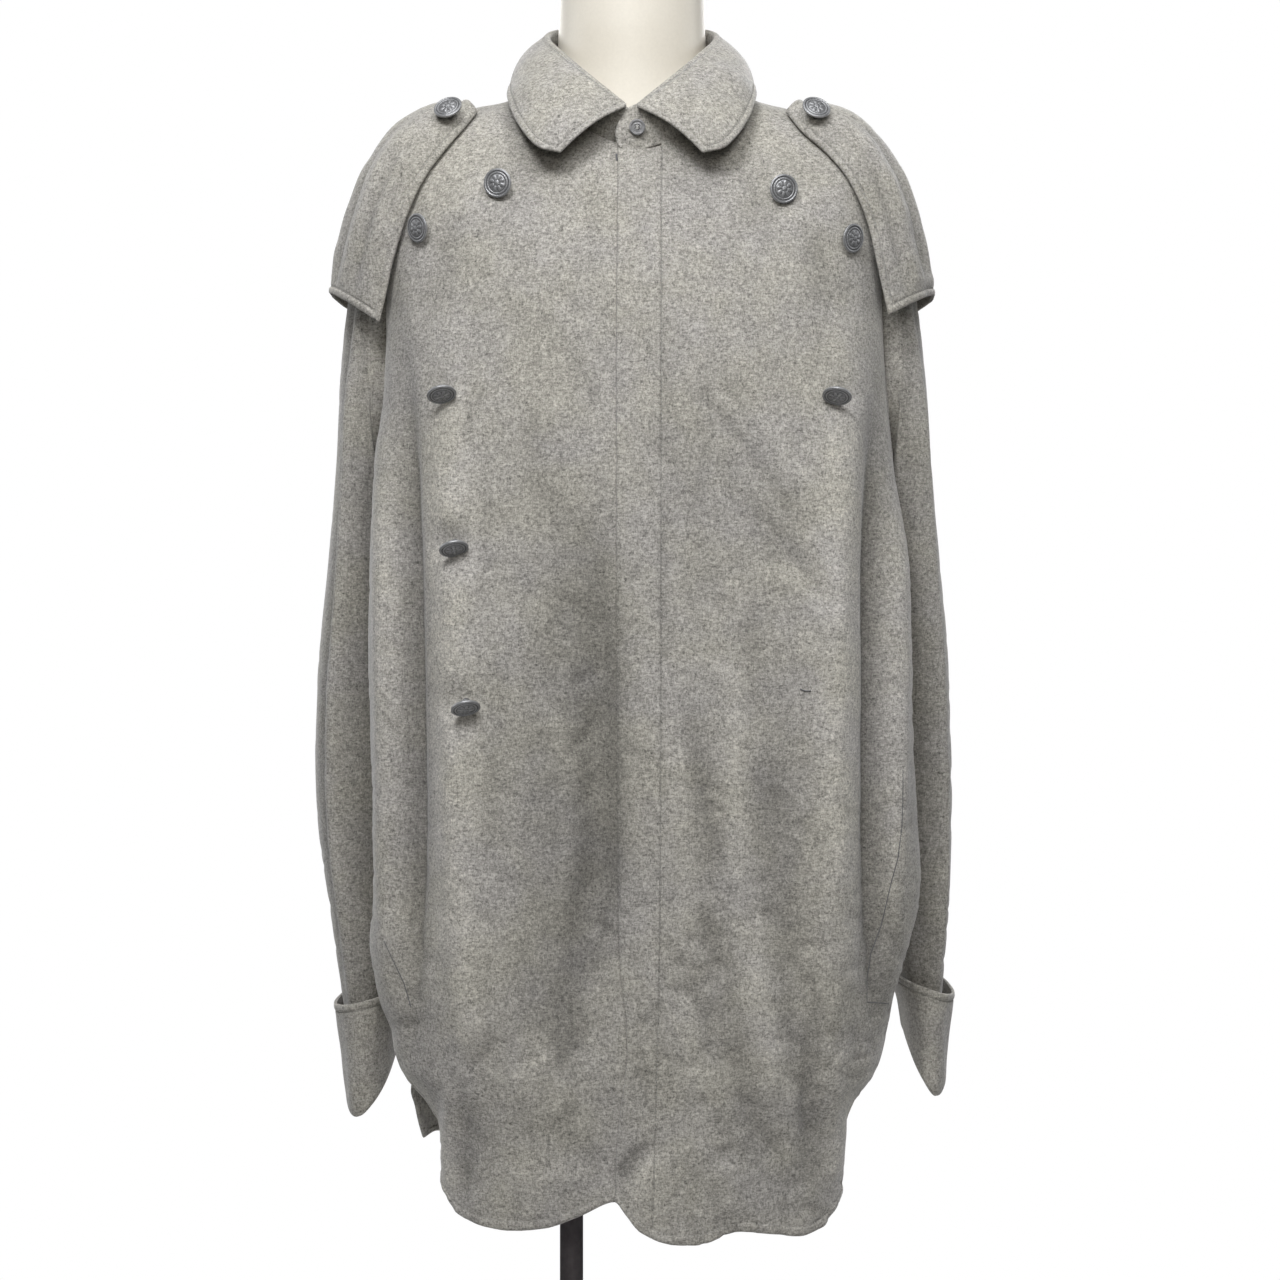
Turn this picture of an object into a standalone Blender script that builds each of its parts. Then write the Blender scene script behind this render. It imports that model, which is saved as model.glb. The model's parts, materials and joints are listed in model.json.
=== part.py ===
"""Oversized flannel shirt coat hanging on a limbless dress form with a pole and a round base.

Metres, +Z up.  The coat faces -Y, its wearer's left side is +X.  The origin is the centre of
the base plate's underside.  Every cloth piece is an open sheet, worked out from a short table
of sections, that is given its wall by Solidify.
"""
import bpy
import bmesh
import math
import numpy as np
from mathutils import Vector, Matrix

# ----------------------------------------------------------------------------- sizes
WALL = 0.0022            # body and sleeve flannel
WALL_FLAP = 0.0024       # shoulder capelets, two layers bagged out
WALL_COLLAR = 0.0028     # collar leaf and stand, interfaced
WALL_PLACKET = 0.0028    # folded fly strip
SEAM_GAP = 0.0009        # between the cut edges of two pieces at a seam

PLACKET_EDGE_X = -0.0172     # free edge of the fly strip, wearer's left over right
PLACKET_SEAM_X = 0.0195      # its stitched edge
UNDER_EDGE_X = 0.0100        # front edge of the under front
PLACKET_LIFT = 0.0032        # step from the under front to the strip

BUTTON_R = 0.0115            # metal shank button
BUTTON_H = 0.0042
SHANK_R = 0.0030
SHANK_H = 0.0042
COLLAR_BUTTON_R = 0.0064
COLLAR_BUTTON_H = 0.0024

POLE_X = -0.0545
POLE_R = 0.0095
POLE_TOP = 0.7705
FLANGE_R = 0.045
FLANGE_H = 0.0092
BASE_R = 0.170
BASE_H = 0.012
SOCKET_R = 0.024
SOCKET_H = 0.030
FIT_GAP = 0.0004

# ----------------------------------------------------------------------------- tables
# Body sections, from the neck seam down to the hem.  z is the height at the sides, w_r and w_l
# the half widths of the wearer's right and left, y_f, y_w, y_b the front, widest and back
# depths, dz_f and dz_b how far the ring dips at the centre front and back, n its squareness,
# pinch how far the side is drawn in behind the widest point, e_f and e_b where the front and
# the back panel end (0 centre front, 1 side, 2 centre back).
BODY_COLS = ("z", "w_r", "w_l", "y_f", "y_w", "y_b", "dz_f", "dz_b", "n", "pinch", "e_f", "e_b")
BODY = (
    (1.4520, 0.083, 0.073, -0.089, 0.000, 0.068, -0.061, 0.008, 2.0, 0.00, 1.00, 1.00),
    (1.4400, 0.106, 0.096, -0.100, 0.000, 0.083, -0.077, -0.006, 2.1, 0.00, 1.00, 1.00),
    (1.4335, 0.133, 0.123, -0.108, 0.000, 0.098, -0.101, -0.022, 2.2, 0.00, 1.00, 1.00),
    (1.4220, 0.165, 0.156, -0.115, 0.002, 0.110, -0.117, -0.035, 2.3, 0.00, 1.00, 1.00),
    (1.3970, 0.196, 0.188, -0.121, 0.004, 0.120, -0.122, -0.045, 2.4, 0.00, 1.00, 1.00),
    (1.3450, 0.204, 0.196, -0.126, 0.001, 0.128, -0.104, -0.035, 2.5, 0.01, 0.90, 1.17),
    (1.2650, 0.204, 0.198, -0.131, -0.010, 0.135, -0.062, -0.015, 2.5, 0.05, 0.93, 1.20),
    (1.1900, 0.206, 0.203, -0.136, -0.020, 0.140, -0.020, 0.000, 2.5, 0.11, 1.03, 1.24),
    (1.1450, 0.2095, 0.2065, -0.138, -0.025, 0.142, -0.005, 0.000, 2.5, 0.14, 1.22, 1.22),
    (1.0500, 0.2145, 0.2135, -0.141, -0.030, 0.145, 0.000, 0.000, 2.5, 0.16, 1.22, 1.22),
    (0.9600, 0.2155, 0.2185, -0.142, -0.030, 0.147, 0.000, 0.000, 2.5, 0.17, 1.22, 1.22),
    (0.8700, 0.2125, 0.2250, -0.142, -0.030, 0.148, 0.000, 0.000, 2.5, 0.18, 1.22, 1.22),
    (0.8000, 0.2115, 0.2275, -0.140, -0.030, 0.147, 0.000, 0.000, 2.5, 0.18, 1.22, 1.22),
    (0.7550, 0.2150, 0.2180, -0.139, -0.030, 0.146, 0.000, 0.000, 2.5, 0.17, 1.22, 1.22),
    (0.7120, 0.2075, 0.2065, -0.138, -0.030, 0.145, 0.000, 0.000, 2.5, 0.14, 1.22, 1.22),
    (0.6900, 0.2000, 0.2020, -0.137, -0.032, 0.144, 0.000, 0.000, 2.4, 0.12, 1.20, 1.24),
    (0.6550, 0.1915, 0.1925, -0.136, -0.036, 0.143, 0.000, 0.000, 2.3, 0.06, 1.04, 1.26),
    (0.6200, 0.1680, 0.1690, -0.134, -0.042, 0.141, 0.000, 0.000, 2.2, 0.00, 0.98, 1.27),
    (0.5880, 0.1575, 0.1650, -0.132, -0.046, 0.139, 0.000, 0.000, 2.2, 0.00, 1.04, 1.29),
    (0.5450, 0.1560, 0.1625, -0.130, -0.048, 0.137, 0.000, 0.000, 2.2, 0.00, 0.98, 1.34),
)
T_TIP, T_UNDERARM, T_VENT, T_HEM = 4.0, 8.0, 15.0, 19.0

# Half widths of the back tail, which hangs free below the vents (rows as in BODY).
BACK_TAIL_COLS = ("t", "w_r", "w_l")
BACK_TAIL = (
    (15.0, 0.2010, 0.2010), (16.0, 0.2000, 0.1960), (17.0, 0.2010, 0.1755), (18.0, 0.2000, 0.1715),
    (19.0, 0.2020, 0.1700),
)

# Hem height across the front and across the back tail.
HEM_FRONT_COLS = ("x", "z")
HEM_FRONT = (
    (-0.160, 0.572), (-0.152, 0.5585), (-0.144, 0.5460), (-0.125, 0.5395), (-0.103, 0.5377),
    (-0.074, 0.5408), (-0.046, 0.5510), (-0.0172, 0.5630), (-0.0086, 0.5525), (0.002, 0.5400),
    (0.027, 0.5300), (0.045, 0.5290), (0.078, 0.5380), (0.109, 0.5346), (0.128, 0.5314),
    (0.146, 0.5350), (0.155, 0.5440), (0.166, 0.5640),
)
HEM_BACK = (
    (-0.190, 0.5830), (-0.182, 0.5842), (-0.170, 0.5890), (-0.152, 0.5790), (-0.120, 0.5570), (-0.060, 0.5430),
    (0.000, 0.5400), (0.060, 0.5430), (0.120, 0.5540), (0.150, 0.5720), (0.172, 0.5860),
)

# Largest standing folds: x and z of the middle, half length, half width and depth (out +).
FOLD_COLS = ("x", "z", "half_l", "half_w", "depth")
FOLDS_FRONT = (
    (-0.165, 0.930, 0.330, 0.017, -0.0110),
    (-0.128, 0.900, 0.320, 0.022, 0.0060),
    (-0.190, 0.980, 0.240, 0.012, 0.0030),
    (0.174, 0.900, 0.320, 0.016, -0.0105),
    (0.146, 0.920, 0.320, 0.019, 0.0060),
    (-0.060, 0.700, 0.160, 0.030, 0.0040),
    (0.085, 0.680, 0.170, 0.030, 0.0045),
    (-0.030, 0.780, 0.220, 0.026, -0.0050),
)
FOLDS_BACK = (
    (-0.125, 0.900, 0.330, 0.024, 0.0070),
    (-0.080, 0.860, 0.340, 0.022, -0.0065),
    (-0.020, 0.950, 0.330, 0.030, 0.0050),
    (0.060, 0.880, 0.350, 0.024, -0.0060),
    (0.115, 0.920, 0.330, 0.024, 0.0075),
)

# Sleeve rings from the crown to the cuff: outer, inner, front and back points.
SLEEVE_COLS = ("xo", "zo", "xi", "zi", "xm", "yf", "zf", "yb", "zb")
SLEEVE_R = (
    (0.2070, 1.3780, 0.2010, 1.1450, 0.2060, -0.030, 1.255, 0.056, 1.255),
    (0.2180, 1.3550, 0.2040, 1.1330, 0.2130, -0.028, 1.236, 0.064, 1.236),
    (0.2285, 1.3230, 0.2045, 1.1190, 0.2180, -0.026, 1.212, 0.071, 1.212),
    (0.2385, 1.2760, 0.2040, 1.1020, 0.2230, -0.024, 1.182, 0.081, 1.182),
    (0.2445, 1.2150, 0.2030, 1.0820, 0.2275, -0.023, 1.150, 0.105, 1.150),
    (0.2475, 1.1450, 0.2010, 1.0520, 0.2300, -0.020, 1.100, 0.116, 1.100),
    (0.2540, 1.0700, 0.1990, 1.0130, 0.2320, -0.018, 1.042, 0.121, 1.042),
    (0.2620, 0.9900, 0.1980, 0.9600, 0.2350, -0.017, 0.975, 0.125, 0.975),
    (0.2660, 0.9200, 0.1985, 0.9100, 0.2370, -0.015, 0.915, 0.127, 0.915),
    (0.2640, 0.8500, 0.1990, 0.8500, 0.2370, -0.013, 0.850, 0.127, 0.850),
    (0.2560, 0.7850, 0.2000, 0.7850, 0.2330, -0.010, 0.785, 0.124, 0.785),
    (0.2480, 0.7250, 0.2020, 0.7300, 0.2290, -0.005, 0.725, 0.120, 0.727),
    (0.2400, 0.6750, 0.2060, 0.6950, 0.2250, 0.000, 0.675, 0.116, 0.685),
    (0.2325, 0.6280, 0.2100, 0.6620, 0.2210, 0.004, 0.628, 0.112, 0.650),
)
SLEEVE_L = (
    (0.1990, 1.3780, 0.1970, 1.1450, 0.1990, -0.030, 1.255, 0.056, 1.255),
    (0.2090, 1.3550, 0.2000, 1.1330, 0.2050, -0.028, 1.236, 0.064, 1.236),
    (0.2190, 1.3230, 0.2015, 1.1190, 0.2105, -0.026, 1.212, 0.071, 1.212),
    (0.2300, 1.2760, 0.2015, 1.1020, 0.2165, -0.024, 1.182, 0.081, 1.182),
    (0.2370, 1.2150, 0.2015, 1.0820, 0.2225, -0.023, 1.150, 0.105, 1.150),
    (0.2420, 1.1450, 0.2010, 1.0520, 0.2270, -0.020, 1.100, 0.116, 1.100),
    (0.2490, 1.0700, 0.1995, 1.0130, 0.2300, -0.018, 1.042, 0.121, 1.042),
    (0.2560, 0.9900, 0.1990, 0.9600, 0.2340, -0.016, 0.975, 0.125, 0.975),
    (0.2590, 0.9200, 0.2000, 0.9100, 0.2380, -0.012, 0.915, 0.127, 0.915),
    (0.2600, 0.8500, 0.2020, 0.8500, 0.2400, -0.009, 0.850, 0.127, 0.850),
    (0.2585, 0.7850, 0.2070, 0.7850, 0.2400, -0.006, 0.785, 0.124, 0.785),
    (0.2550, 0.7350, 0.2150, 0.7400, 0.2390, -0.002, 0.735, 0.120, 0.737),
    (0.2505, 0.6900, 0.2235, 0.7100, 0.2380, 0.001, 0.690, 0.116, 0.700),
    (0.2460, 0.6450, 0.2300, 0.6790, 0.2380, 0.004, 0.645, 0.112, 0.667),
)
# Turned-back cuffs: from the lip under the sleeve's end, round the fold, up to the rim.
CUFF_R = (
    (0.2325, 0.6243, 0.2100, 0.6583, 0.2210, 0.004, 0.6243, 0.112, 0.6463),
    (0.2335, 0.6195, 0.2090, 0.6535, 0.2210, 0.002, 0.6195, 0.114, 0.6415),
    (0.2365, 0.6175, 0.2065, 0.6515, 0.2210, -0.002, 0.6170, 0.118, 0.6395),
    (0.2405, 0.6230, 0.2035, 0.6575, 0.2220, -0.006, 0.6230, 0.122, 0.6450),
    (0.2455, 0.6600, 0.2012, 0.6800, 0.2240, -0.010, 0.6600, 0.127, 0.6750),
    (0.2510, 0.7000, 0.1985, 0.7120, 0.2255, -0.014, 0.7040, 0.132, 0.7080),
)
CUFF_L = (
    (0.2460, 0.6402, 0.2300, 0.6742, 0.2380, 0.004, 0.6402, 0.112, 0.6622),
    (0.2470, 0.6355, 0.2290, 0.6695, 0.2380, 0.002, 0.6355, 0.114, 0.6575),
    (0.2497, 0.6345, 0.2265, 0.6685, 0.2380, -0.002, 0.6340, 0.118, 0.6565),
    (0.2535, 0.6410, 0.2235, 0.6750, 0.2385, -0.006, 0.6410, 0.122, 0.6620),
    (0.2570, 0.6750, 0.2200, 0.6970, 0.2390, -0.009, 0.6780, 0.127, 0.6900),
    (0.2615, 0.7090, 0.2105, 0.7260, 0.2390, -0.012, 0.7140, 0.133, 0.7230),
)

# Shoulder capelets: crest point, front edge point, back edge, and how far the edge stands off.
CAPE_COLS = ("xt", "yt", "zt", "xf", "zf", "xb", "zb", "off")
CAPE_R = (
    (0.1385, 0.002, 1.4405, 0.1290, 1.4230, 0.1290, 1.4260, 0.0045),
    (0.1565, 0.004, 1.4410, 0.1390, 1.4080, 0.1390, 1.4140, 0.0045),
    (0.1790, 0.006, 1.4350, 0.1530, 1.3900, 0.1530, 1.3990, 0.0045),
    (0.2020, 0.009, 1.4190, 0.1660, 1.3710, 0.1660, 1.3820, 0.0047),
    (0.2230, 0.012, 1.3880, 0.1760, 1.3500, 0.1760, 1.3600, 0.0052),
    (0.2355, 0.015, 1.3570, 0.1845, 1.3253, 0.1840, 1.3340, 0.0062),
    (0.2440, 0.018, 1.3320, 0.1905, 1.2988, 0.1890, 1.3060, 0.0078),
    (0.2500, 0.020, 1.3090, 0.1935, 1.2760, 0.1920, 1.2820, 0.0098),
    (0.2530, 0.022, 1.2870, 0.1965, 1.2547, 0.1940, 1.2600, 0.0120),
)
CAPE_L = (
    (0.1300, 0.002, 1.4405, 0.1190, 1.4230, 0.1190, 1.4260, 0.0045),
    (0.1480, 0.004, 1.4405, 0.1310, 1.4050, 0.1310, 1.4130, 0.0045),
    (0.1700, 0.006, 1.4350, 0.1480, 1.3890, 0.1480, 1.3980, 0.0045),
    (0.1920, 0.009, 1.4190, 0.1620, 1.3720, 0.1620, 1.3820, 0.0047),
    (0.2135, 0.012, 1.3880, 0.1725, 1.3520, 0.1725, 1.3600, 0.0052),
    (0.2270, 0.015, 1.3570, 0.1800, 1.3300, 0.1800, 1.3340, 0.0062),
    (0.2350, 0.018, 1.3290, 0.1835, 1.3080, 0.1840, 1.3080, 0.0078),
    (0.2410, 0.020, 1.3050, 0.1870, 1.2830, 0.1870, 1.2850, 0.0098),
    (0.2440, 0.022, 1.2850, 0.1900, 1.2600, 0.1890, 1.2640, 0.0120),
)

# Collar, front point round to the centre back: roll line and outer edge of the leaf, one side.
COLLAR_COLS = ("xr", "yr", "zr", "xe", "ye", "ze")
COLLAR = (
    (0.0050, -0.0980, 1.4210, 0.0560, -0.1150, 1.3825),
    (0.0180, -0.0940, 1.4320, 0.0740, -0.1090, 1.3885),
    (0.0370, -0.0800, 1.4490, 0.0900, -0.0870, 1.4100),
    (0.0560, -0.0510, 1.4690, 0.0990, -0.0500, 1.4350),
    (0.0700, -0.0130, 1.4870, 0.1000, -0.0060, 1.4500),
    (0.0710, 0.0200, 1.4985, 0.0990, 0.0350, 1.4560),
    (0.0600, 0.0480, 1.5070, 0.0860, 0.0700, 1.4560),
    (0.0340, 0.0680, 1.5120, 0.0520, 0.0960, 1.4540),
    (0.0000, 0.0750, 1.5140, 0.0000, 0.1080, 1.4530),
)
NECK_SHIFT_X = -0.0050

# Dress form: rings from the bottom up, as the body's rings.
FORM_COLS = ("z", "w", "y_f", "y_b", "dz_f", "dz_b")
FORM = (
    (0.7800, 0.1560, -0.1000, 0.1020, 0.000, 0.000),
    (0.8300, 0.1640, -0.1060, 0.1080, 0.000, 0.000),
    (0.9000, 0.1640, -0.1050, 0.1090, 0.000, 0.000),
    (0.9800, 0.1520, -0.0970, 0.0980, 0.000, 0.000),
    (1.0600, 0.1440, -0.0940, 0.0880, 0.000, 0.000),
    (1.1400, 0.1520, -0.1030, 0.0920, -0.004, 0.000),
    (1.2200, 0.1640, -0.1090, 0.1000, -0.016, -0.004),
    (1.2900, 0.1740, -0.1060, 0.1050, -0.046, -0.010),
    (1.3450, 0.1800, -0.1010, 0.1050, -0.075, -0.022),
    (1.3820, 0.1740, -0.0960, 0.1020, -0.090, -0.030),
    (1.4050, 0.1570, -0.0910, 0.0970, -0.092, -0.032),
    (1.4210, 0.1290, -0.0850, 0.0900, -0.084, -0.026),
    (1.4310, 0.0980, -0.0770, 0.0790, -0.066, -0.016),
    (1.4430, 0.0740, -0.0670, 0.0680, -0.040, -0.006),
    (1.4660, 0.0630, -0.0620, 0.0630, -0.018, 0.000),
    (1.5000, 0.0600, -0.0610, 0.0620, -0.004, 0.000),
    (1.5460, 0.0590, -0.0600, 0.0610, 0.000, 0.000),
)
FORM_CAP_Z = 1.5500
FORM_CAP_INSET = 0.006

# Metal buttons on the fronts: x, z, and where the disc's axis points (turned out, tipped down).
BUTTON_COLS = ("name", "x", "z", "turn", "tip", "seat")
BUTTONS = (
    ("button_right_chest", -0.1085, 1.3600, -18.0, 4.0, "body"),
    ("button_right_side", -0.1690, 1.3270, -46.0, 8.0, "body"),
    ("button_right_3", -0.1500, 1.1960, 16.0, 58.0, "body"),
    ("button_right_4", -0.1400, 1.0757, 20.0, 60.0, "body"),
    ("button_right_5", -0.1300, 0.9524, 20.0, 60.0, "body"),
    ("button_left_chest", 0.1130, 1.3555, 16.0, 4.0, "body"),
    ("button_left_side", 0.1650, 1.3190, 44.0, 8.0, "body"),
    ("button_left_3", 0.1510, 1.1944, -14.0, 58.0, "body"),
)


# ----------------------------------------------------------------------------- curves
def curve(xs, ys, x):
    """Shape-keeping cubic through (xs, ys), read at x."""
    xs = np.asarray(xs, float)
    ys = np.asarray(ys, float)
    x = np.clip(np.asarray(x, float), xs[0], xs[-1])
    h = np.diff(xs)
    d = np.diff(ys) / h
    m = np.empty_like(ys)
    m[0], m[-1] = d[0], d[-1]
    prod = d[:-1] * d[1:]
    m[1:-1] = np.where(prod > 0.0, 2.0 * prod / np.where(prod > 0.0, d[:-1] + d[1:], 1.0), 0.0)
    k = np.clip(np.searchsorted(xs, x, side="right") - 1, 0, len(xs) - 2)
    u = (x - xs[k]) / h[k]
    return ((1 + 2 * u) * (1 - u) ** 2 * ys[k] + u * (1 - u) ** 2 * h[k] * m[k]
            + u * u * (3 - 2 * u) * ys[k + 1] + u * u * (u - 1) * h[k] * m[k + 1])


def smooth_curve(ys, t):
    """Catmull-Rom curve through evenly spaced values, read at row number t."""
    ys = np.asarray(ys, float)
    n = len(ys)
    t = np.clip(np.asarray(t, float), 0.0, n - 1.0)
    k = np.clip(np.floor(t).astype(int), 0, n - 2)
    u = t - k
    pad = np.concatenate(([2 * ys[0] - ys[1]], ys, [2 * ys[-1] - ys[-2]]))
    a, b, c, d = pad[k], pad[k + 1], pad[k + 2], pad[k + 3]
    return 0.5 * (2 * b + (c - a) * u + (2 * a - 5 * b + 4 * c - d) * u ** 2
                  + (3 * b - a - 3 * c + d) * u ** 3)


def column(table, cols, name, t):
    return smooth_curve([row[cols.index(name)] for row in table], t)


def panel_edge(name, t):
    """Where a panel ends round the body; kept from overshooting at the seam corners."""
    return curve(range(len(BODY)), [row[BODY_COLS.index(name)] for row in BODY], t)


def smoothstep(a, b, x):
    u = np.clip((np.asarray(x, float) - a) / (b - a), 0.0, 1.0)
    return u * u * (3 - 2 * u)


# ----------------------------------------------------------------------------- body surface
def even_angle(q, n):
    """Angle (0..90 degrees, as 0..1) that spaces points evenly along a squarish quarter."""
    q = np.clip(q, 0.0, 1.0)
    w = q * q * (3 - 2 * q)
    return (1 - w) * q ** (n / 2) + w * (1 - (1 - q) ** (n / 2))


def body_base(q, t):
    """Point of the body sheet: q -2..2 round from the centre front (+ = wearer's left), t down."""
    q, t = np.broadcast_arrays(np.asarray(q, float), np.asarray(t, float))
    c = {k: column(BODY, BODY_COLS, k, t) for k in BODY_COLS}
    aq = np.abs(q)
    back = aq > 1.0
    ang = np.where(back, 2.0 - even_angle(2.0 - aq, c["n"]), even_angle(aq, c["n"])) * math.pi / 2
    s = np.abs(np.sin(ang)) ** (2 / c["n"])
    k = np.abs(np.cos(ang)) ** (2 / c["n"])
    w = np.where(q < 0, c["w_r"], c["w_l"])
    tail = np.where(q < 0, curve([r[0] for r in BACK_TAIL], [r[1] for r in BACK_TAIL], t),
                    curve([r[0] for r in BACK_TAIL], [r[2] for r in BACK_TAIL], t))
    w = w + (tail - w) * smoothstep(T_VENT, T_VENT + 1.0, t) * smoothstep(1.06, 1.19, aq)
    hump = smoothstep(0.98, 1.24, aq) * (1 - smoothstep(1.30, 1.75, aq))
    x = np.sign(q) * w * s * (1 - c["pinch"] * hump)
    y = np.where(back, c["y_w"] + (c["y_b"] - c["y_w"]) * k, c["y_w"] + (c["y_f"] - c["y_w"]) * k)
    z = c["z"] + np.where(back, c["dz_b"], c["dz_f"]) * np.cos(ang) ** 2
    # the hem's own line comes in over the tail
    hem_f = curve([r[0] for r in HEM_FRONT], [r[1] for r in HEM_FRONT], x)
    hem_b = curve([r[0] for r in HEM_BACK], [r[1] for r in HEM_BACK], x)
    share = np.clip((t - (T_VENT + 1.0)) / (T_HEM - T_VENT - 1.0), 0.0, 1.0) ** 1.3
    hem = np.where(back, hem_b, hem_f)
    z = z + (hem - BODY[-1][0]) * share
    return np.stack((x, y, z), -1)


def unit(v):
    return v / np.maximum(np.linalg.norm(v, axis=-1, keepdims=True), 1e-12)


def body_normal(q, t, e=0.004):
    """Outward normal of the body sheet."""
    tt = np.clip(t, e * 4, T_HEM - e * 4)
    du = body_base(q + e, tt) - body_base(q - e, tt)
    dv = body_base(q, tt + e * 4) - body_base(q, tt - e * 4)
    return unit(np.cross(dv, du))


def fold_depth(p, q):
    """How far the standing folds carry the sheet out (+) or in (-)."""
    total = np.zeros(p.shape[:-1])
    for table, here in ((FOLDS_FRONT, np.abs(q) < 1.0), (FOLDS_BACK, np.abs(q) > 1.0)):
        for x, z, half_l, half_w, depth in table:
            along = np.clip(1 - ((p[..., 2] - z) / half_l) ** 2, 0.0, 1.0) ** 1.5
            across = np.exp(-((p[..., 0] - x) / half_w) ** 2)
            total = total + np.where(here, depth * along * across, 0.0)
    side = 1 - smoothstep(0.86, 0.98, np.abs(q)) + smoothstep(1.30, 1.45, np.abs(q))
    return total * side


def body_point(q, t, out=0.0):
    q, t = np.broadcast_arrays(np.asarray(q, float), np.asarray(t, float))
    p = body_base(q, t)
    n = body_normal(q, t)
    return p + n * (fold_depth(p, q) + out)[..., None]


def q_of_x(x, t):
    """Place across the front where the sheet has this x, row by row."""
    t = np.atleast_1d(np.asarray(t, float))
    x = np.broadcast_to(np.asarray(x, float), t.shape)
    lo, hi = np.full(t.shape, -0.6), np.full(t.shape, 0.6)
    for _ in range(30):
        mid = (lo + hi) / 2
        high = body_base(mid, t)[..., 0] > x
        hi = np.where(high, mid, hi)
        lo = np.where(high, lo, mid)
    return (lo + hi) / 2


def find_on_body(x, z, q0, t0):
    """Where on the sheet a point seen from the front at x, z lies (q0, t0 is a first guess)."""
    q = np.full(np.shape(x), float(q0))
    t = np.full(np.shape(x), float(t0))
    e = 0.002
    for _ in range(40):
        p = body_base(q, t)
        pq = (body_base(q + e, t) - p) / e
        pt = (body_base(q, t + e) - p) / e
        rx, rz = x - p[..., 0], z - p[..., 2]
        det = pq[..., 0] * pt[..., 2] - pt[..., 0] * pq[..., 2]
        det = np.where(np.abs(det) < 1e-5, 1e-5, det)
        dq = (rx * pt[..., 2] - rz * pt[..., 0]) / det
        dt = (pq[..., 0] * rz - pq[..., 2] * rx) / det
        q = np.clip(q + np.clip(dq, -0.08, 0.08), min(q0 * 0.2, q0 * 1.9), max(q0 * 0.2, q0 * 1.9))
        t = np.clip(t + np.clip(dt, -0.5, 0.5), 0.05, T_HEM - 0.05)
    return q, t


# ----------------------------------------------------------------------------- other sheets
def rings_point(table, phi, r):
    """Ring r of a sleeve or cuff table, phi 0..360 from the outer point to the front."""
    n = 2.0 + 0.35 * smoothstep(2.0, 6.0, r) if len(table) > 8 else 2.35
    c = {k: column(table, SLEEVE_COLS, k, r) for k in SLEEVE_COLS}
    a = np.radians(phi)
    ca, sa = np.cos(a), np.sin(a)
    ce = np.abs(ca) ** (2 / n)
    se = np.abs(sa) ** (2 / n)
    outer = np.stack((c["xo"], (c["yf"] + c["yb"]) / 2, c["zo"]), -1)
    inner = np.stack((c["xi"], (c["yf"] + c["yb"]) / 2, c["zi"]), -1)
    front = np.stack((c["xm"], c["yf"], c["zf"]), -1)
    back = np.stack((c["xm"], c["yb"], c["zb"]), -1)
    mid = (outer + inner) / 2
    mid[..., 0] = c["xm"]
    lengthways = np.where((ca > 0)[..., None], outer - mid, inner - mid) * ce[..., None]
    crossways = np.where((sa > 0)[..., None], front - mid, back - mid) * se[..., None]
    return mid + lengthways + crossways


def ring_angles(count):
    """Angles round a flattened ring, closer together at its front and back ends."""
    a = np.arange(count) * 2 * math.pi / count
    return np.degrees(a)


def armhole(side, count):
    """The body's armhole, from the shoulder tip down the front and up the back."""
    half = count // 2
    fall = (1 - np.cos(np.linspace(0.0, math.pi, half + 1))) / 2
    dense = np.linspace(T_TIP, T_UNDERARM, 161)
    runs = []
    for edge in ("e_f", "e_b"):
        z = body_point(side * panel_edge(edge, dense), dense)[:, 2]
        z = np.minimum.accumulate(z)
        t = np.interp(z[0] + (z[-1] - z[0]) * fall, z[::-1], dense[::-1])
        t[0], t[-1] = T_TIP, T_UNDERARM
        runs.append(body_point(side * panel_edge(edge, t), t))
    return np.concatenate((runs[0], runs[1][-2:0:-1]))


def sleeve_grid(side, table, count, rows):
    """Sleeve sheet: first ring on the armhole, then blended into the table's rings."""
    phi = ring_angles(count)
    first = armhole(side, count)
    first[:, 0] += side * 0.0030
    grid = [first]
    for r in np.linspace(0.0, len(table) - 1.0, rows):
        ring = rings_point(table, phi, np.full(count, r))
        ring[:, 0] *= side
        share = smoothstep(-1.0, 3.5, r)
        start = first.copy()
        start[:, 0] += side * 0.0085 * (r + 1.0)
        start[:, 2] -= 0.0130 * (r + 1.0)
        grid.append(start * (1 - share) + ring * share)
    return np.array(grid)


def cuff_grid(side, table, count, rows):
    phi = ring_angles(count)
    grid = []
    for r in rows:
        ring = rings_point(table, phi, np.full(count, float(r)))
        ring[:, 0] *= side
        grid.append(ring)
    return np.array(grid)


def cape_point(side, table, a, r, out=0.0):
    """Capelet: a -1 front edge, 0 crest, 1 back edge; r row from the neck end to the hem."""
    c = {k: column(table, CAPE_COLS, k, r) for k in CAPE_COLS}
    qf, tf = find_on_body(side * c["xf"], c["zf"], side * 0.80, 4.5)
    qb, tb = find_on_body(side * c["xb"], c["zb"], side * 1.20, 4.5)
    front = body_point(qf, tf, c["off"])
    back = body_point(qb, tb, c["off"])
    hang = smoothstep(2.0, 8.0, r)
    back = back + np.stack((side * 0.010 * hang, 0.038 * hang, 0 * hang), -1)
    top = np.stack((side * c["xt"], c["yt"], c["zt"] - 0.0012 + 0 * c["xt"]), -1)
    mid = (front + back) / 2
    n = 2.6
    ca = np.abs(np.cos(a * math.pi / 2)) ** (2 / n)
    sa = np.abs(np.sin(a * math.pi / 2)) ** (2 / n)
    edge = np.where((a < 0)[..., None], front - mid, back - mid)
    p = mid + (top - mid) * ca[..., None] + edge * sa[..., None]
    return p


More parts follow.
